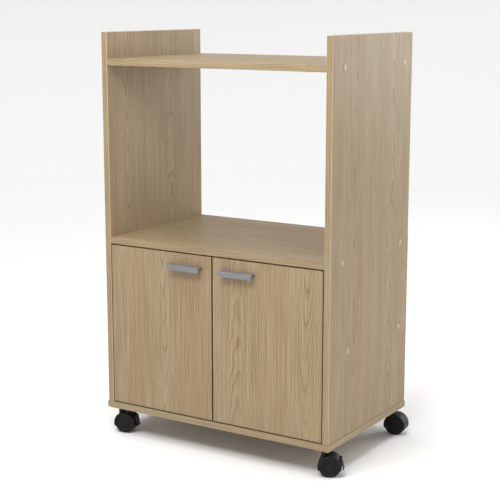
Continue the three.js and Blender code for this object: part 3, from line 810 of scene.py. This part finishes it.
# Each board's grain and width axes, the place of a column of arches, and where its print starts.
BOARD_PRINTS = {
    "left_side_panel": ("Z", "Y", 260 * MM, 1.1),
    "right_side_panel": ("Z", "Y", -50 * MM, 3.2),
    "base_panel": ("X", "Y", 210 * MM, 5.3),
    "middle_shelf": ("X", "Y", 95 * MM, 7.4),
    "upper_shelf": ("X", "Y", 120 * MM, 9.5),
    "inner_shelf": ("X", "Y", 160 * MM, 11.6),
    "left_door": ("Z", "X", -25 * MM, 13.7),
    "right_door": ("Z", "X", 67 * MM, 15.8),
    "back_panel": ("Z", "X", 230 * MM, 17.9),
}
ROUNDED_LIMIT = 0.995  # a face whose normal leans more than this from every axis is a rounded edge
END_LIMIT = 0.7  # a face whose normal follows the grain more than this belongs to an end band
GAP_SHADE_DEPTH = 5 * MM  # how far the painted shade of the gap between the doors goes along the edge where they meet
PRINT_SKIN = 0.3 * MM  # thickness of the printed face of the back

# The way in which each of a door's pivots points, and the board that holds its bush.
PIVOTS = {"lower": (-1, "base_panel"), "upper": (1, "middle_shelf")}


def is_door(name):
    return name.endswith("_door")


def centre_of(name):
    low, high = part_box(name)
    return (low + high) / 2


def half_width(name):
    low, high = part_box(name)
    return (high.x - low.x) / 2


def facing_level(name, way):
    """The level of a node's top, or of its underside where the way is down."""
    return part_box(name)[way > 0].z


def board_print(name):
    """The print of one board."""
    look = bpy.context.scene.cart_laminate
    # A door's edges take the painted shade of its gaps, a side panel's edges the painted highlight of
    # its corners.
    corner = look.seam if is_door(name) else look.edge
    return laminate(name + "_print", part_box(name)[0], *BOARD_PRINTS[name], corner)


def mark_bands(mesh, grain, tinted):
    """Marks the faces of the end bands, and of the rounded edges that take painted light: a painted
    highlight on the side panels, painted shade on the doors.
    """
    axis = "XYZ".index(grain)
    normals = [face.normal for face in mesh.polygons]
    rounded = [tinted and max(abs(part) for part in normal) < ROUNDED_LIMIT for normal in normals]
    ends = [abs(normal[axis]) > END_LIMIT for normal in normals]
    for name, marks in (("rounded_edge", rounded), ("end_band", ends)):
        attribute = mesh.attributes.new(name, "FLOAT", "FACE")
        attribute.data.foreach_set("value", [float(mark) for mark in marks])


def mark_meeting_edge(mesh, name, gap_shade_end):
    """Gives the front of the edge that meets the other door the painted shade of the gap as well."""
    way = -SIDES[name.removesuffix("_door")]
    for face, mark in zip(mesh.polygons, mesh.attributes["rounded_edge"].data):
        if face.normal.x * way > END_LIMIT and face.center.y < gap_shade_end:
            mark.value = 1.0


def pivot_seats(name, hardware):
    """The holes in a board or door for its pivots, as steps that drill them."""
    drills = []
    for side in SIDES:
        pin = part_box(f"{side}_lower_pivot_pin")
        x, y = ((a + b) / 2 for a, b in zip(pin[0][:2], pin[1][:2]))
        for end, (way, board) in PIVOTS.items():
            if name == f"{side}_door":
                radius = hardware.pin_diameter / 2 + hardware.fit
                edge = facing_level(name, way)
                levels = edge - way * (hardware.pin_depth + hardware.fit), edge + way * MM
            elif name == board:
                bush = f"{side}_{end}_pivot_bush"
                radius = half_width(bush) - hardware.bush_flange + hardware.fit
                deep = facing_level(bush, way) + way * hardware.fit
                levels = deep, facing_level(name, -way) - way * MM
            else:
                continue
            drill = shifted(rod(radius, *sorted(levels), SMALL), x, y)
            drills.append(("DIFFERENCE", drill))
    return drills


def board_block(name, gap_shade_end):
    """The plain box of a board; a door's sides are parted where the painted shade of the gap ends."""
    low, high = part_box(name)
    if not is_door(name):
        return block(low, high)
    outline = [(low.x, low.z), (high.x, low.z), (high.x, high.z), (low.x, high.z)]
    shape = bmesh.new()
    rows = [[shape.verts.new((x, y, z)) for x, z in outline] for y in (low.y, gap_shade_end, high.y)]
    shape.faces.new(rows[0][::-1])
    shape.faces.new(rows[-1])
    return facing_out(joined(shape, rows))


def add_board(name, radius, hardware):
    """One laminated board with rounded bands and the seats for its pivots."""
    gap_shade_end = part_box(name)[0].y + GAP_SHADE_DEPTH
    shape = softened(board_block(name, gap_shade_end), radius)
    drills = pivot_seats(name, hardware)
    if drills:
        shape = combined(shape, *drills)
    mesh = solid_mesh(name + "_finished", [(shape, board_print(name))])
    mark_bands(mesh, BOARD_PRINTS[name][0], is_door(name) or name.endswith("_side_panel"))
    # The front of the meeting edge takes the painted shade of the gap too.
    if is_door(name):
        mark_meeting_edge(mesh, name, gap_shade_end)
    add_piece(name + "_finished", mesh, name if is_door(name) else CARCASS, [name])


class CART_OT_boards(bpy.types.Operator):
    """Builds the laminated boards of the carcass"""

    bl_idname = "cart.boards"
    bl_label = "Boards"

    def execute(self, context):
        scene = context.scene
        for name in BOARD_PRINTS:
            if name.endswith(("_side_panel", "_shelf")) or name == "base_panel":
                add_board(name, scene.cart_boards.edge_radius, scene.cart_hardware)
        return {"FINISHED"}


class CART_OT_doors(bpy.types.Operator):
    """Builds the two doors"""

    bl_idname = "cart.doors"
    bl_label = "Doors"

    def execute(self, context):
        scene = context.scene
        for side in SIDES:
            add_board(f"{side}_door", scene.cart_boards.door_radius, scene.cart_hardware)
        return {"FINISHED"}


def spread(start, end, pitch):
    """Evenly spaced values from start to end, at most a pitch apart."""
    count = max(1, math.ceil((end - start) / pitch))
    return [start + (end - start) * step / count for step in range(count + 1)]


def nail(radius):
    """A nail whose slightly domed head is nearly level with its board."""
    shank, end, under, rise = 0.6 * MM, -2 * MM, -0.15 * MM, 0.15 * MM
    head = [(radius, under), (radius, rise / 3), (0.8 * radius, 0.8 * rise), (0, rise)]
    return lathe([(0, end), (shank, end), *head], 20)


class CART_OT_back(bpy.types.Operator):
    """Builds the thin back of the cupboard with its nails"""

    bl_idname = "cart.back"
    bl_label = "Back"

    def execute(self, context):
        boards = context.scene.cart_boards
        low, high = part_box("back_panel")
        core = block((low.x, low.y + PRINT_SKIN, low.z), high)
        near = (low.x + PRINT_SKIN, low.y, low.z + PRINT_SKIN)
        far = (high.x - PRINT_SKIN, low.y + PRINT_SKIN, high.z - PRINT_SKIN)
        parts = [
            (softened(core, boards.back_radius, 2), shared("raw_hardboard")),
            (block(near, far), board_print("back_panel")),
        ]
        replace_node("back_panel", parts, CARCASS)

        inset = boards.nail_inset
        lefts = spread(low.x + inset, high.x - inset, boards.nail_pitch)
        levels = spread(low.z + inset, high.z - inset, boards.nail_pitch)
        places = [(x, z) for x in lefts for z in (levels[0], levels[-1])]
        places += [(x, z) for x in (lefts[0], lefts[-1]) for z in levels[1:-1]]
        seats = [((x, high.y, z), (0, 1, 0)) for x, z in places]
        add_fasteners("back_nails", nail(boards.nail_head / 2), seats, CARCASS)
        return {"FINISHED"}


# ---- Small hardware -------------------------------------------------------------------------


class CART_OT_caps(bpy.types.Operator):
    """Builds the caps over the shelf screws"""

    bl_idname = "cart.caps"
    bl_label = "Screw caps"

    def execute(self, context):
        names = sorted(name for name in frame["nodes"] if name.endswith("_screw_cap"))
        low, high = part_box(names[0])
        radius, rise = (high.z - low.z) / 2, high.x - low.x
        rim = context.scene.cart_hardware.cap_rim
        dome = [(radius * x, rim + (rise - rim) * y) for x, y in arc(0, 0, 1, 0, QUARTER, 8)[:-1]]
        cap = shaded(lathe([(0, 0), (radius, 0), *dome, (0, rise)], SMALL))
        seats = []
        for name in names:
            side = SIDES[name.split("_")[0]]
            low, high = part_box(name)
            foot = high.x if side < 0 else low.x
            seats.append(((foot, (low.y + high.y) / 2, (low.z + high.z) / 2), (side, 0, 0)))
        add_fasteners("screw_caps", cap, seats, CARCASS, "cap_plastic", names)
        return {"FINISHED"}


def pan_head(diameter, rise):
    """A pan head with a cross recess, its seat on z = 0."""
    radius, below = diameter / 2, -0.2 * MM
    bends = (0.0, 0.35, 0.7, 1.05, 1.35)
    crown = [(radius * math.cos(bend), rise * (0.35 + 0.65 * math.sin(bend))) for bend in bends]
    head = lathe([(0, below), (radius, below), *crown, (0, rise)], 28)
    long, wide, deep = 0.30 * diameter, 0.055 * diameter, rise * 0.45
    slots = [block((-x, -y, rise - deep), (x, y, rise + deep)) for x, y in ((long, wide), (wide, long))]
    return shaded(combined(head, *[("DIFFERENCE", slot) for slot in slots]))


def handle_shape(low, high, hardware):
    """A pull with a closed top and a lip at the front, and a deeper block at each end."""
    top = high.z - hardware.handle_top
    lip = low.y + hardware.handle_lip
    bend, end = hardware.handle_round, hardware.handle_end
    profile = [(high.y, top), (high.y, high.z)]
    profile += arc(low.y + bend, high.z - bend, bend, QUARTER, math.pi, 6)
    profile += [(low.y, low.z), (lip, low.z), (lip, top)]
    along_x = Matrix(((0, 0, 1, 0), (1, 0, 0, 0), (0, 1, 0, 0), (0, 0, 0, 1)))
    rail = moved(prism(profile, low.x, high.x), along_x)
    blocks = [
        block((start, lip - MM, high.z - end), (start + end, high.y, top + MM))
        for start in (low.x, high.x - end)
    ]
    return softened(combined(rail, *[("UNION", part) for part in blocks]), hardware.handle_radius)


class CART_OT_handles(bpy.types.Operator):
    """Builds the handles and the screws that hold them from inside the doors"""

    bl_idname = "cart.handles"
    bl_label = "Handles"

    def execute(self, context):
        hardware = context.scene.cart_hardware
        for side, way in SIDES.items():
            name, door = f"{side}_handle", f"{side}_door"
            low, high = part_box(name)
            pull = handle_shape(low, high, hardware)
            replace_node(name, [(pull, shared("satin_metal"))], door)

            inside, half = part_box(door)[1].y, hardware.handle_end / 2
            seats = [((x, inside, high.z - half), (0, 1, 0)) for x in (low.x + half, high.x - half)]
            head = pan_head(hardware.screw_head, hardware.screw_rise)
            add_fasteners(name + "_screws", head, seats, door, seed=3 + way)
        return {"FINISHED"}


def eased(profile, ease):
    """The profile with each of its corners off the axis cut back by a small chamfer."""
    points = [Vector(point) for point in profile]
    result = [profile[0]]
    for before, corner, after in zip(points, points[1:], points[2:]):
        for neighbour in (before, after):
            step = neighbour - corner
            reach = min(ease, step.length / 3)
            result.append(tuple(corner + step.normalized() * reach))
    return [*result, profile[-1]]


class CART_OT_pivots(bpy.types.Operator):
    """Builds the pins and bushes on which the doors turn"""

    bl_idname = "cart.pivots"
    bl_label = "Pivots"

    def execute(self, context):
        hardware = context.scene.cart_hardware
        for side in SIDES:
            for end, (way, board) in PIVOTS.items():
                pin, bush = f"{side}_{end}_pivot_pin", f"{side}_{end}_pivot_bush"
                self.add_pin(pin, f"{side}_door", way, board, hardware)
                self.add_bush(bush, pin, way, board, hardware)
        return {"FINISHED"}

    def add_pin(self, name, door, way, board, hardware):
        edge = facing_level(door, way)
        tip = abs(facing_level(name, way) - edge)
        gap = abs(facing_level(board, -way) - edge)
        collar = gap - hardware.flange_rise - hardware.fit
        root, wide = -hardware.pin_depth, half_width(name)
        shank, spigot = hardware.pin_diameter / 2, hardware.spigot_diameter / 2
        profile = [(0, root), (shank, root), (shank, 0), (wide, 0), (wide, collar)]
        profile += [(spigot, collar), (spigot, tip), (0, tip)]
        self.add_turned(name, eased(profile, 0.25 * MM), edge, way, "browned_steel", door, "steel")

    def add_bush(self, name, pin, way, board, hardware):
        face = facing_level(board, -way)
        deep = way * (face - facing_level(name, way))
        floor = way * (face - facing_level(pin, way)) - hardware.fit
        wide, rise = half_width(name), hardware.flange_rise
        body, bore = wide - hardware.bush_flange, hardware.spigot_diameter / 2 + hardware.fit
        profile = [(0, deep), (body, deep), (body, 0), (wide, 0), (wide, rise)]
        profile += [(bore, rise), (bore, floor), (0, floor)]
        self.add_turned(name, eased(profile, 0.2 * MM), face, -way, "brown_nylon", CARCASS, "nylon")

    def add_turned(self, name, profile, level, way, finish, body, slot):
        centre = centre_of(name)
        place = Matrix.Translation((centre.x, centre.y, level))
        if way < 0:
            place = place @ Matrix.Rotation(math.pi, 4, "X")
        replace_node(name, [(lathe(profile, SMALL), shared(finish))], body, place)


class CART_OT_catch(bpy.types.Operator):
    """Builds the magnetic catch, its strike plates and their screws"""

    bl_idname = "cart.catch"
    bl_label = "Catch"

    def execute(self, context):
        hardware = context.scene.cart_hardware
        low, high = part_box("magnetic_catch")
        front = low.y + hardware.magnet_rise
        ear, inside = hardware.ear_length, high.z - hardware.ear_thickness
        housing = block((low.x + ear, front, low.z), (high.x - ear, high.y, inside))
        plate = block((low.x, front, inside), high)
        parts = [
            (softened(housing, 0.8 * MM), shared("white_nylon")),
            (softened(plate, 0.5 * MM, 2), shared("white_nylon")),
        ]
        bottom = low.z + (inside - low.z - hardware.magnet_height) / 2
        top = bottom + hardware.magnet_height
        half, pole, recess = hardware.magnet_width / 2, 1.2 * MM, 0.3 * MM
        layers = (
            (bottom, bottom + pole, low.y, "zinc_plate"),
            (bottom + pole, top - pole, low.y + recess, "ferrite"),
            (top - pole, top, low.y, "zinc_plate"),
        )
        strikes = {name: centre_of(name).x for name in (f"{side}_strike_plate" for side in SIDES)}
        for x in strikes.values():
            for start, end, face, finish in layers:
                piece = block((x - half, face, start), (x + half, front + MM, end))
                parts.append((softened(piece, 0.12 * MM, 2), shared(finish)))
        replace_node("magnetic_catch", parts, CARCASS)

        middle_y = (front + high.y) / 2
        seats = [((x, middle_y, inside), (0, 0, -1)) for x in (low.x + ear / 2, high.x - ear / 2)]
        head = pan_head(hardware.screw_head * 0.8, hardware.screw_rise * 0.8)
        add_fasteners("catch_screws", head, seats, CARCASS)

        for name in strikes:
            plate = softened(block(*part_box(name)), 0.3 * MM, 2)
            door = name.replace("strike_plate", "door")
            replace_node(name, [(plate, shared("zinc_plate"))], door)
        return {"FINISHED"}


# ---- Casters --------------------------------------------------------------------------------

HOOD_STEPS = 56  # along the hood's bend
TONGUE_STEPS = 18  # along the upper side of a lever's tongue
HUB_CAP = 3 * MM  # a wheel closes over the axle's end by this
TREAD_SKIN = 0.5 * MM  # thickness of the worn tread
RIB_SINK = 0.3 * MM  # the ribs stay below the wheel's face by this


class Caster:
    """Where one caster stands, and the sizes that its pieces share."""

    def __init__(self, name, sizes, fit):
        swivel = JOINTS[name + SWIVEL_SUFFIX]
        spin = JOINTS[name + "_left_wheel_spin"]
        self.name = name
        self.fit = fit
        self.stem = Vector(swivel["pos_m"])
        self.axle = Vector(spin["pos_m"])
        self.heading = math.atan2(-spin["axis"][0], spin["axis"][1])
        self.trail = (self.axle.xy - self.stem.xy).length
        self.wheel_radius = self.axle.z
        self.well = self.wheel_radius + sizes.rim_gap
        self.hood = self.well + sizes.wall
        self.hood_middle = self.hood - sizes.wall / 2
        self.hood_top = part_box(name + "_caster_hood")[1].z
        self.wheel_inner = sizes.web / 2 + sizes.side_gap
        self.wheel_outer = self.wheel_inner + sizes.wheel_width
        self.well_outer = self.wheel_outer + sizes.side_gap
        self.half_width = self.well_outer + sizes.wall

    def at_axle(self):
        """Places what is drawn about the axle, with X along the trail and Y along the axle."""
        return Matrix.Translation(self.axle) @ Matrix.Rotation(self.heading, 4, "Z")

    def lever_hinge(self):
        """The brake lever's joint, where its pin is seen from the axle, and at which angle."""
        joint = JOINTS[self.name + "_brake_lever_hinge"]
        away = Vector(joint["pos_m"]) - self.axle
        pivot = Vector((away.xy.length, away.z))
        return joint, pivot, math.atan2(pivot.y, pivot.x)


def hood_shell(caster, sizes):
    """The roof and side lips of the hood: a section swept about the axle, its ends cut off level."""
    outer, half, ease = caster.hood, caster.half_width, sizes.ease
    lip = caster.well - sizes.lip
    right = [(caster.well_outer, caster.well), (caster.well_outer, lip), (half, lip)]
    right += arc(half - ease, outer - ease, ease, 0, QUARTER, 5)
    section = [*right, *[(-y, radius) for y, radius in reversed(right)]]
    shape = bmesh.new()
    rows = []
    for step in range(HOOD_STEPS + 1):
        row = []
        for y, radius in section:
            dip = math.asin(sizes.skirt / radius)
            x, z = polar(radius, -dip + (math.pi + 2 * dip) * step / HOOD_STEPS)
            row.append(shape.verts.new((x, y, z)))
        rows.append(row)
    joined(shape, rows)
    shape.faces.new(rows[0][::-1])
    shape.faces.new(rows[-1])
    return facing_out(shape)


def hood_web(caster, sizes):
    """The wall between the wheels, cut off level with the skirt."""
    radius = caster.hood_middle
    dip = math.asin(sizes.skirt / radius)
    outline = arc(0, 0, radius, -dip, math.pi + dip, HOOD_STEPS)
    return laid_across(prism(outline, -sizes.web / 2, sizes.web / 2))


def hood_neck(caster, sizes, top):
    """The neck that turns on the kingpin, standing on the hood's roof."""
    radius, edge = sizes.neck / 2, 0.6 * MM
    profile = [(0, 0), (radius, 0), (radius, top - edge), (radius - edge, top), (0, top)]
    neck = shifted(lathe(profile, 48), -caster.trail, 0)
    below = cross_rod(caster.hood_middle, -caster.half_width, caster.half_width, LARGE)
    return combined(neck, ("DIFFERENCE", below))


def lever_lugs(caster, sizes):
    """The two lugs that hold the brake lever's pin, and the pin."""
    _, pivot, facing = caster.lever_hinge()
    root, radius, lean = caster.hood_middle, sizes.lever_barrel / 2, sizes.lug_spread
    bend = arc(pivot.x, pivot.y, radius, facing - QUARTER, facing + QUARTER, 14)
    outline = [polar(root, facing - lean), *bend, polar(root, facing + lean)]
    inner = sizes.lever_width / 2 + sizes.lever_gap
    outer = inner + sizes.lug_thickness
    lugs = [laid_across(prism(outline, *span)) for span in ((inner, outer), (-outer, -inner))]
    return [*lugs, shifted(cross_rod(sizes.lever_pin / 2, -outer, outer, 24), pivot.x, 0, pivot.y)]


def add_hood(caster, sizes):
    """The hood with its web, its neck and lugs, and the bores for the axle and the kingpin."""
    name, half, fit = caster.name + "_caster_hood", caster.half_width, caster.fit
    top = caster.hood_top - caster.axle.z
    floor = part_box(caster.name + "_caster_plate")[0].z - caster.axle.z - fit
    added = [hood_web(caster, sizes), hood_neck(caster, sizes, top)]
    if caster.name in BRAKED:
        added += lever_lugs(caster, sizes)
    kingpin_bore = shifted(rod(sizes.kingpin / 2 + fit, floor, top + MM, 32), -caster.trail, 0)
    bores = [cross_rod(sizes.axle / 2 + fit, -half, half, 32), kingpin_bore]
    steps = [("UNION", shape) for shape in added] + [("DIFFERENCE", shape) for shape in bores]
    parts = [(combined(hood_shell(caster, sizes), *steps), shared("hood_nylon"))]
    replace_node(name, parts, caster.name + "_swivel", caster.at_axle())


def wheel_shapes(caster, sizes):
    """A wheel about Z with its inner face on z = 0: the moulded body, and the worn tread round it."""
    radius, width, shoulder = caster.wheel_radius, sizes.wheel_width, sizes.shoulder
    bore, cap = sizes.axle / 2 + caster.fit, width - HUB_CAP
    ring, hub = radius - sizes.rim, sizes.axle / 2 + sizes.hub_wall
    dish, under_tread = width - sizes.dish, radius - TREAD_SKIN
    body = [(0, cap), (bore, cap), (bore, 0), (under_tread, 0), (under_tread, width - shoulder)]
    body += [(radius - shoulder, width - 0.1 * MM), (under_tread - shoulder, width), (ring, width)]
    body += [(ring - 0.5 * MM, width - 0.25 * MM), (ring - sizes.dish, dish)]
    body += [(hub + sizes.dish, dish), (hub + 0.4 * MM, width - 0.3 * MM), (hub, width)]
    pit, pit_edge = 1.2 * MM, 0.4 * MM
    body += [(pit + pit_edge, width), (pit, width - pit_edge), (0, width - pit_edge)]
    band = [(radius - 2 * TREAD_SKIN, 0.2 * MM), (radius - 0.3 * MM, 0), (radius, 0.3 * MM)]
    band += arc(radius - shoulder, width - shoulder, shoulder, 0, QUARTER, 5)
    band += [(radius - 2 * shoulder, width - 0.6 * MM)]
    return lathe(body, LARGE), swept_ring(band, LARGE)


def add_wheels(caster, sizes):
    """The two wheels, drawn lying down with their ribs and then stood on the axle."""
    for hand, way in (("left", 1), ("right", -1)):
        name = f"{caster.name}_{hand}_wheel"
        body, tread = wheel_shapes(caster, sizes)
        parts = [(body, shared("wheel_nylon")), (tread, shared("worn_tread"))]
        host = scratch_object(solid_mesh(name, parts))
        values = {
            "Ribs": sizes.ribs,
            "Inner Radius": sizes.axle / 2 + sizes.hub_wall,
            "Outer Radius": caster.wheel_radius - sizes.rim,
            "Width": sizes.rib_width,
            "Height": sizes.dish,
            "Level": sizes.wheel_width - sizes.dish / 2 - RIB_SINK,
            "Finish": shared("wheel_nylon"),
        }
        mesh = grown(host, shared_tree("Ribs on a wheel", rib_tree), values)
        discard(host)
        upright = Matrix.Rotation(-way * QUARTER, 4, "X")
        mesh.transform(caster.at_axle() @ upright @ Matrix.Translation((0, 0, caster.wheel_inner)))
        add_piece(name + "_finished", mesh, name, [name])


def add_axle(caster, sizes):
    radius, reach = sizes.axle / 2, caster.wheel_outer - HUB_CAP - caster.fit
    profile = eased([(0, -reach), (radius, -reach), (radius, reach), (0, reach)], 0.4 * MM)
    parts = [(facing_out(laid_across(lathe(profile, SMALL))), shared("zinc_plate"))]
    replace_node(caster.name + "_axle", parts, caster.name + "_swivel", caster.at_axle())


def add_plate(caster, sizes):
    """The mounting plate with its raceway and kingpin; returns the seats of its four screws."""
    name = caster.name + "_caster_plate"
    low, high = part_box(name)
    inner = half_width(name) - sizes.plate_corner
    outline = []
    for x, y, quarter in ((1, -1, -1), (1, 1, 0), (-1, 1, 1), (-1, -1, 2)):
        start = quarter * QUARTER
        outline += arc(x * inner, y * inner, sizes.plate_corner, start, start + QUARTER, 8)
    depth, pitch, edge = sizes.raceway_depth, sizes.hole_pitch / 2, 0.4 * MM
    race = caster.hood_top + caster.fit
    under = race + depth
    corners = [(x * pitch, y * pitch) for x in (-1, 1) for y in (-1, 1)]
    drills = [shifted(rod(sizes.hole / 2, under - MM, high.z + MM, 28), x, y) for x, y in corners]
    sheet = softened(prism(outline, under, high.z), 0.35 * MM, 2)
    wide, pin = sizes.raceway / 2, sizes.kingpin / 2
    profile = [(0, low.z), (pin - edge, low.z), (pin, low.z + edge), (pin, race)]
    profile += arc(wide - depth, under, depth, -QUARTER, 0, 6)
    profile += [(wide, under + MM), (0, under + MM)]
    steps = [*[("DIFFERENCE", drill) for drill in drills], ("UNION", lathe(profile, 56))]
    parts = [(combined(sheet, *steps), shared("zinc_plate"))]
    stem = caster.stem
    replace_node(name, parts, CARCASS, Matrix.Translation((stem.x, stem.y, 0)))
    return [((stem.x + x, stem.y + y, under), (0, 0, -1)) for x, y in corners]


def add_lever(caster, sizes):
    """The brake lever at rest: a barrel on its pin and a tongue that would lie on the hood."""
    hinge, pivot, facing = caster.lever_hinge()
    underside = caster.hood + sizes.lever_gap
    tip_radius, tip = caster.hood + sizes.lever_step, sizes.lever_tip
    tip_top = polar(tip_radius, tip + sizes.lever_nose / tip_radius)
    outline = [*arc(0, 0, underside, facing, tip, 22), polar(tip_radius, tip), tip_top]
    start, end = Vector(tip_top), Vector(polar(underside + sizes.lever_barrel, facing))
    hollow = Vector(polar(underside + sizes.lever_nose, tip / 2))
    for step in range(1, TONGUE_STEPS + 1):
        t = step / TONGUE_STEPS
        outline.append(tuple((1 - t) ** 2 * start + 2 * t * (1 - t) * hollow + t**2 * end))
    half, inset = sizes.lever_width / 2, 0.02 * MM
    tongue = shifted(laid_across(prism(outline, -half, half)), -pivot.x, 0, -pivot.y)
    tongue = softened(tongue, 0.35 * MM, 2, math.radians(50))
    barrel = cross_rod(sizes.lever_barrel / 2, inset - half, half - inset, 32)
    bore = cross_rod(sizes.lever_pin / 2 + caster.fit, -half - MM, half + MM, 24)
    shape = combined(tongue, ("UNION", barrel), ("DIFFERENCE", bore))
    at_rest = Matrix.Rotation(-math.radians(hinge["range_deg"][1]), 4, "Y")
    place = caster.at_axle() @ Matrix.Translation((pivot.x, 0, pivot.y)) @ at_rest
    parts = [(shape, shared("hood_nylon"))]
    replace_node(caster.name + "_brake_lever", parts, caster.name + "_brake", place)


class CART_OT_casters(bpy.types.Operator):
    """Builds the four casters with their plates, hoods, wheels and brake levers"""

    bl_idname = "cart.casters"
    bl_label = "Casters"

    def execute(self, context):
        sizes, hardware = context.scene.cart_casters, context.scene.cart_hardware
        seats = []
        for name in CASTERS:
            caster = Caster(name, sizes, hardware.fit)
            seats += add_plate(caster, sizes)
            add_hood(caster, sizes)
            add_axle(caster, sizes)
            add_wheels(caster, sizes)
            if name in BRAKED:
                add_lever(caster, sizes)
        head = pan_head(hardware.screw_head, hardware.screw_rise)
        add_fasteners("caster_screws", head, seats, CARCASS, seed=11)
        return {"FINISHED"}


# ---- Stage ----------------------------------------------------------------------------------


def add_lamp(name, kind, place, target, strength):
    """A lamp that stands at the place and shines at the target."""
    light = bpy.data.lights.new(name, kind)
    light.energy = strength
    lamp = bpy.data.objects.new(name, light)
    bpy.context.scene.collection.objects.link(lamp)
    lamp.location = place
    lamp.rotation_euler = (Vector(target) - Vector(place)).to_track_quat("-Z", "Y").to_euler()
    lamp.visible_camera = False
    return light


def add_softbox(name, place, size, power, target=(0, 0, 0.9)):
    """A rectangular lamp, by default turned to the upper shelf."""
    light = add_lamp(name, "AREA", place, target, power)
    light.shape = "RECTANGLE"
    light.size, light.size_y = size


class CART_OT_stage(bpy.types.Operator):
    """Sets up the floor, the lights and the camera"""

    bl_idname = "cart.stage"
    bl_label = "Stage"

    def execute(self, context):
        scene, stage = context.scene, context.scene.cart_stage
        rim = arc(stage.floor_flat, stage.floor_rise, stage.floor_rise, -QUARTER, 0, 32)
        floor = as_object(lathe([(0, 0), *rim], 128))
        floor.name = "floor"
        floor.data.materials.append(new_material("studio_floor", stage.floor_colour, 0.9)[0])
        floor.data.shade_smooth()

        world = bpy.data.worlds.new("studio")
        world.use_nodes = True
        backdrop = world.node_tree.nodes["Background"]
        backdrop.inputs["Color"].default_value = (1.0, 1.0, 1.0, 1)
        backdrop.inputs["Strength"].default_value = stage.sky
        scene.world = world
        scene.view_settings.view_transform = "Standard"

        add_softbox("front_light", place=(0.15, -1.3, 1.85), size=(1.1, 0.6), power=stage.front_power)
        add_softbox("side_light", place=(1.5, 2.4, 1.3), size=(1.4, 1.4), power=stage.side_power)
        overhead = add_lamp("overhead_light", "SUN", (-0.3, -0.4, 4.0), (0, 0, 0), stage.overhead)
        overhead.angle = math.radians(40)

        camera = bpy.data.cameras.new("camera")
        camera.lens = stage.lens
        holder = bpy.data.objects.new("camera", camera)
        scene.collection.objects.link(holder)
        holder.location = stage.camera
        holder.rotation_euler = (QUARTER - stage.pitch, 0, stage.yaw)
        scene.camera = holder
        return {"FINISHED"}


# ---- Sidebar and registration ---------------------------------------------------------------

OPERATORS = (
    CART_OT_stage,
    CART_OT_boards,
    CART_OT_doors,
    CART_OT_back,
    CART_OT_caps,
    CART_OT_handles,
    CART_OT_pivots,
    CART_OT_catch,
    CART_OT_casters,
)
SETTINGS = {
    "cart_laminate": CART_PG_laminate,
    "cart_boards": CART_PG_boards,
    "cart_hardware": CART_PG_hardware,
    "cart_casters": CART_PG_casters,
    "cart_stage": CART_PG_stage,
}


class CART_PT_sidebar(bpy.types.Panel):
    """Lists the steps that build the cart and the settings that they read"""

    bl_idname = "CART_PT_sidebar"
    bl_label = "Microwave cart"
    bl_space_type = "VIEW_3D"
    bl_region_type = "UI"
    bl_category = "Cart"

    def draw(self, context):
        for operator in OPERATORS:
            self.layout.operator(operator.bl_idname)
        for name, group in SETTINGS.items():
            box = self.layout.box()
            box.label(text=group.__doc__)
            for key in group.__annotations__:
                box.prop(getattr(context.scene, name), key)


CLASSES = (*SETTINGS.values(), *OPERATORS, CART_PT_sidebar)


def register():
    for cls in CLASSES:
        bpy.utils.register_class(cls)
    for name, group in SETTINGS.items():
        setattr(bpy.types.Scene, name, PointerProperty(type=group))


def unregister():
    for name in SETTINGS:
        delattr(bpy.types.Scene, name)
    for cls in reversed(CLASSES):
        bpy.utils.unregister_class(cls)


def main():
    register()
    for operator in OPERATORS:
        group, step = operator.bl_idname.split(".")
        getattr(getattr(bpy.ops, group), step)()


if __name__ == "__main__":
    main()
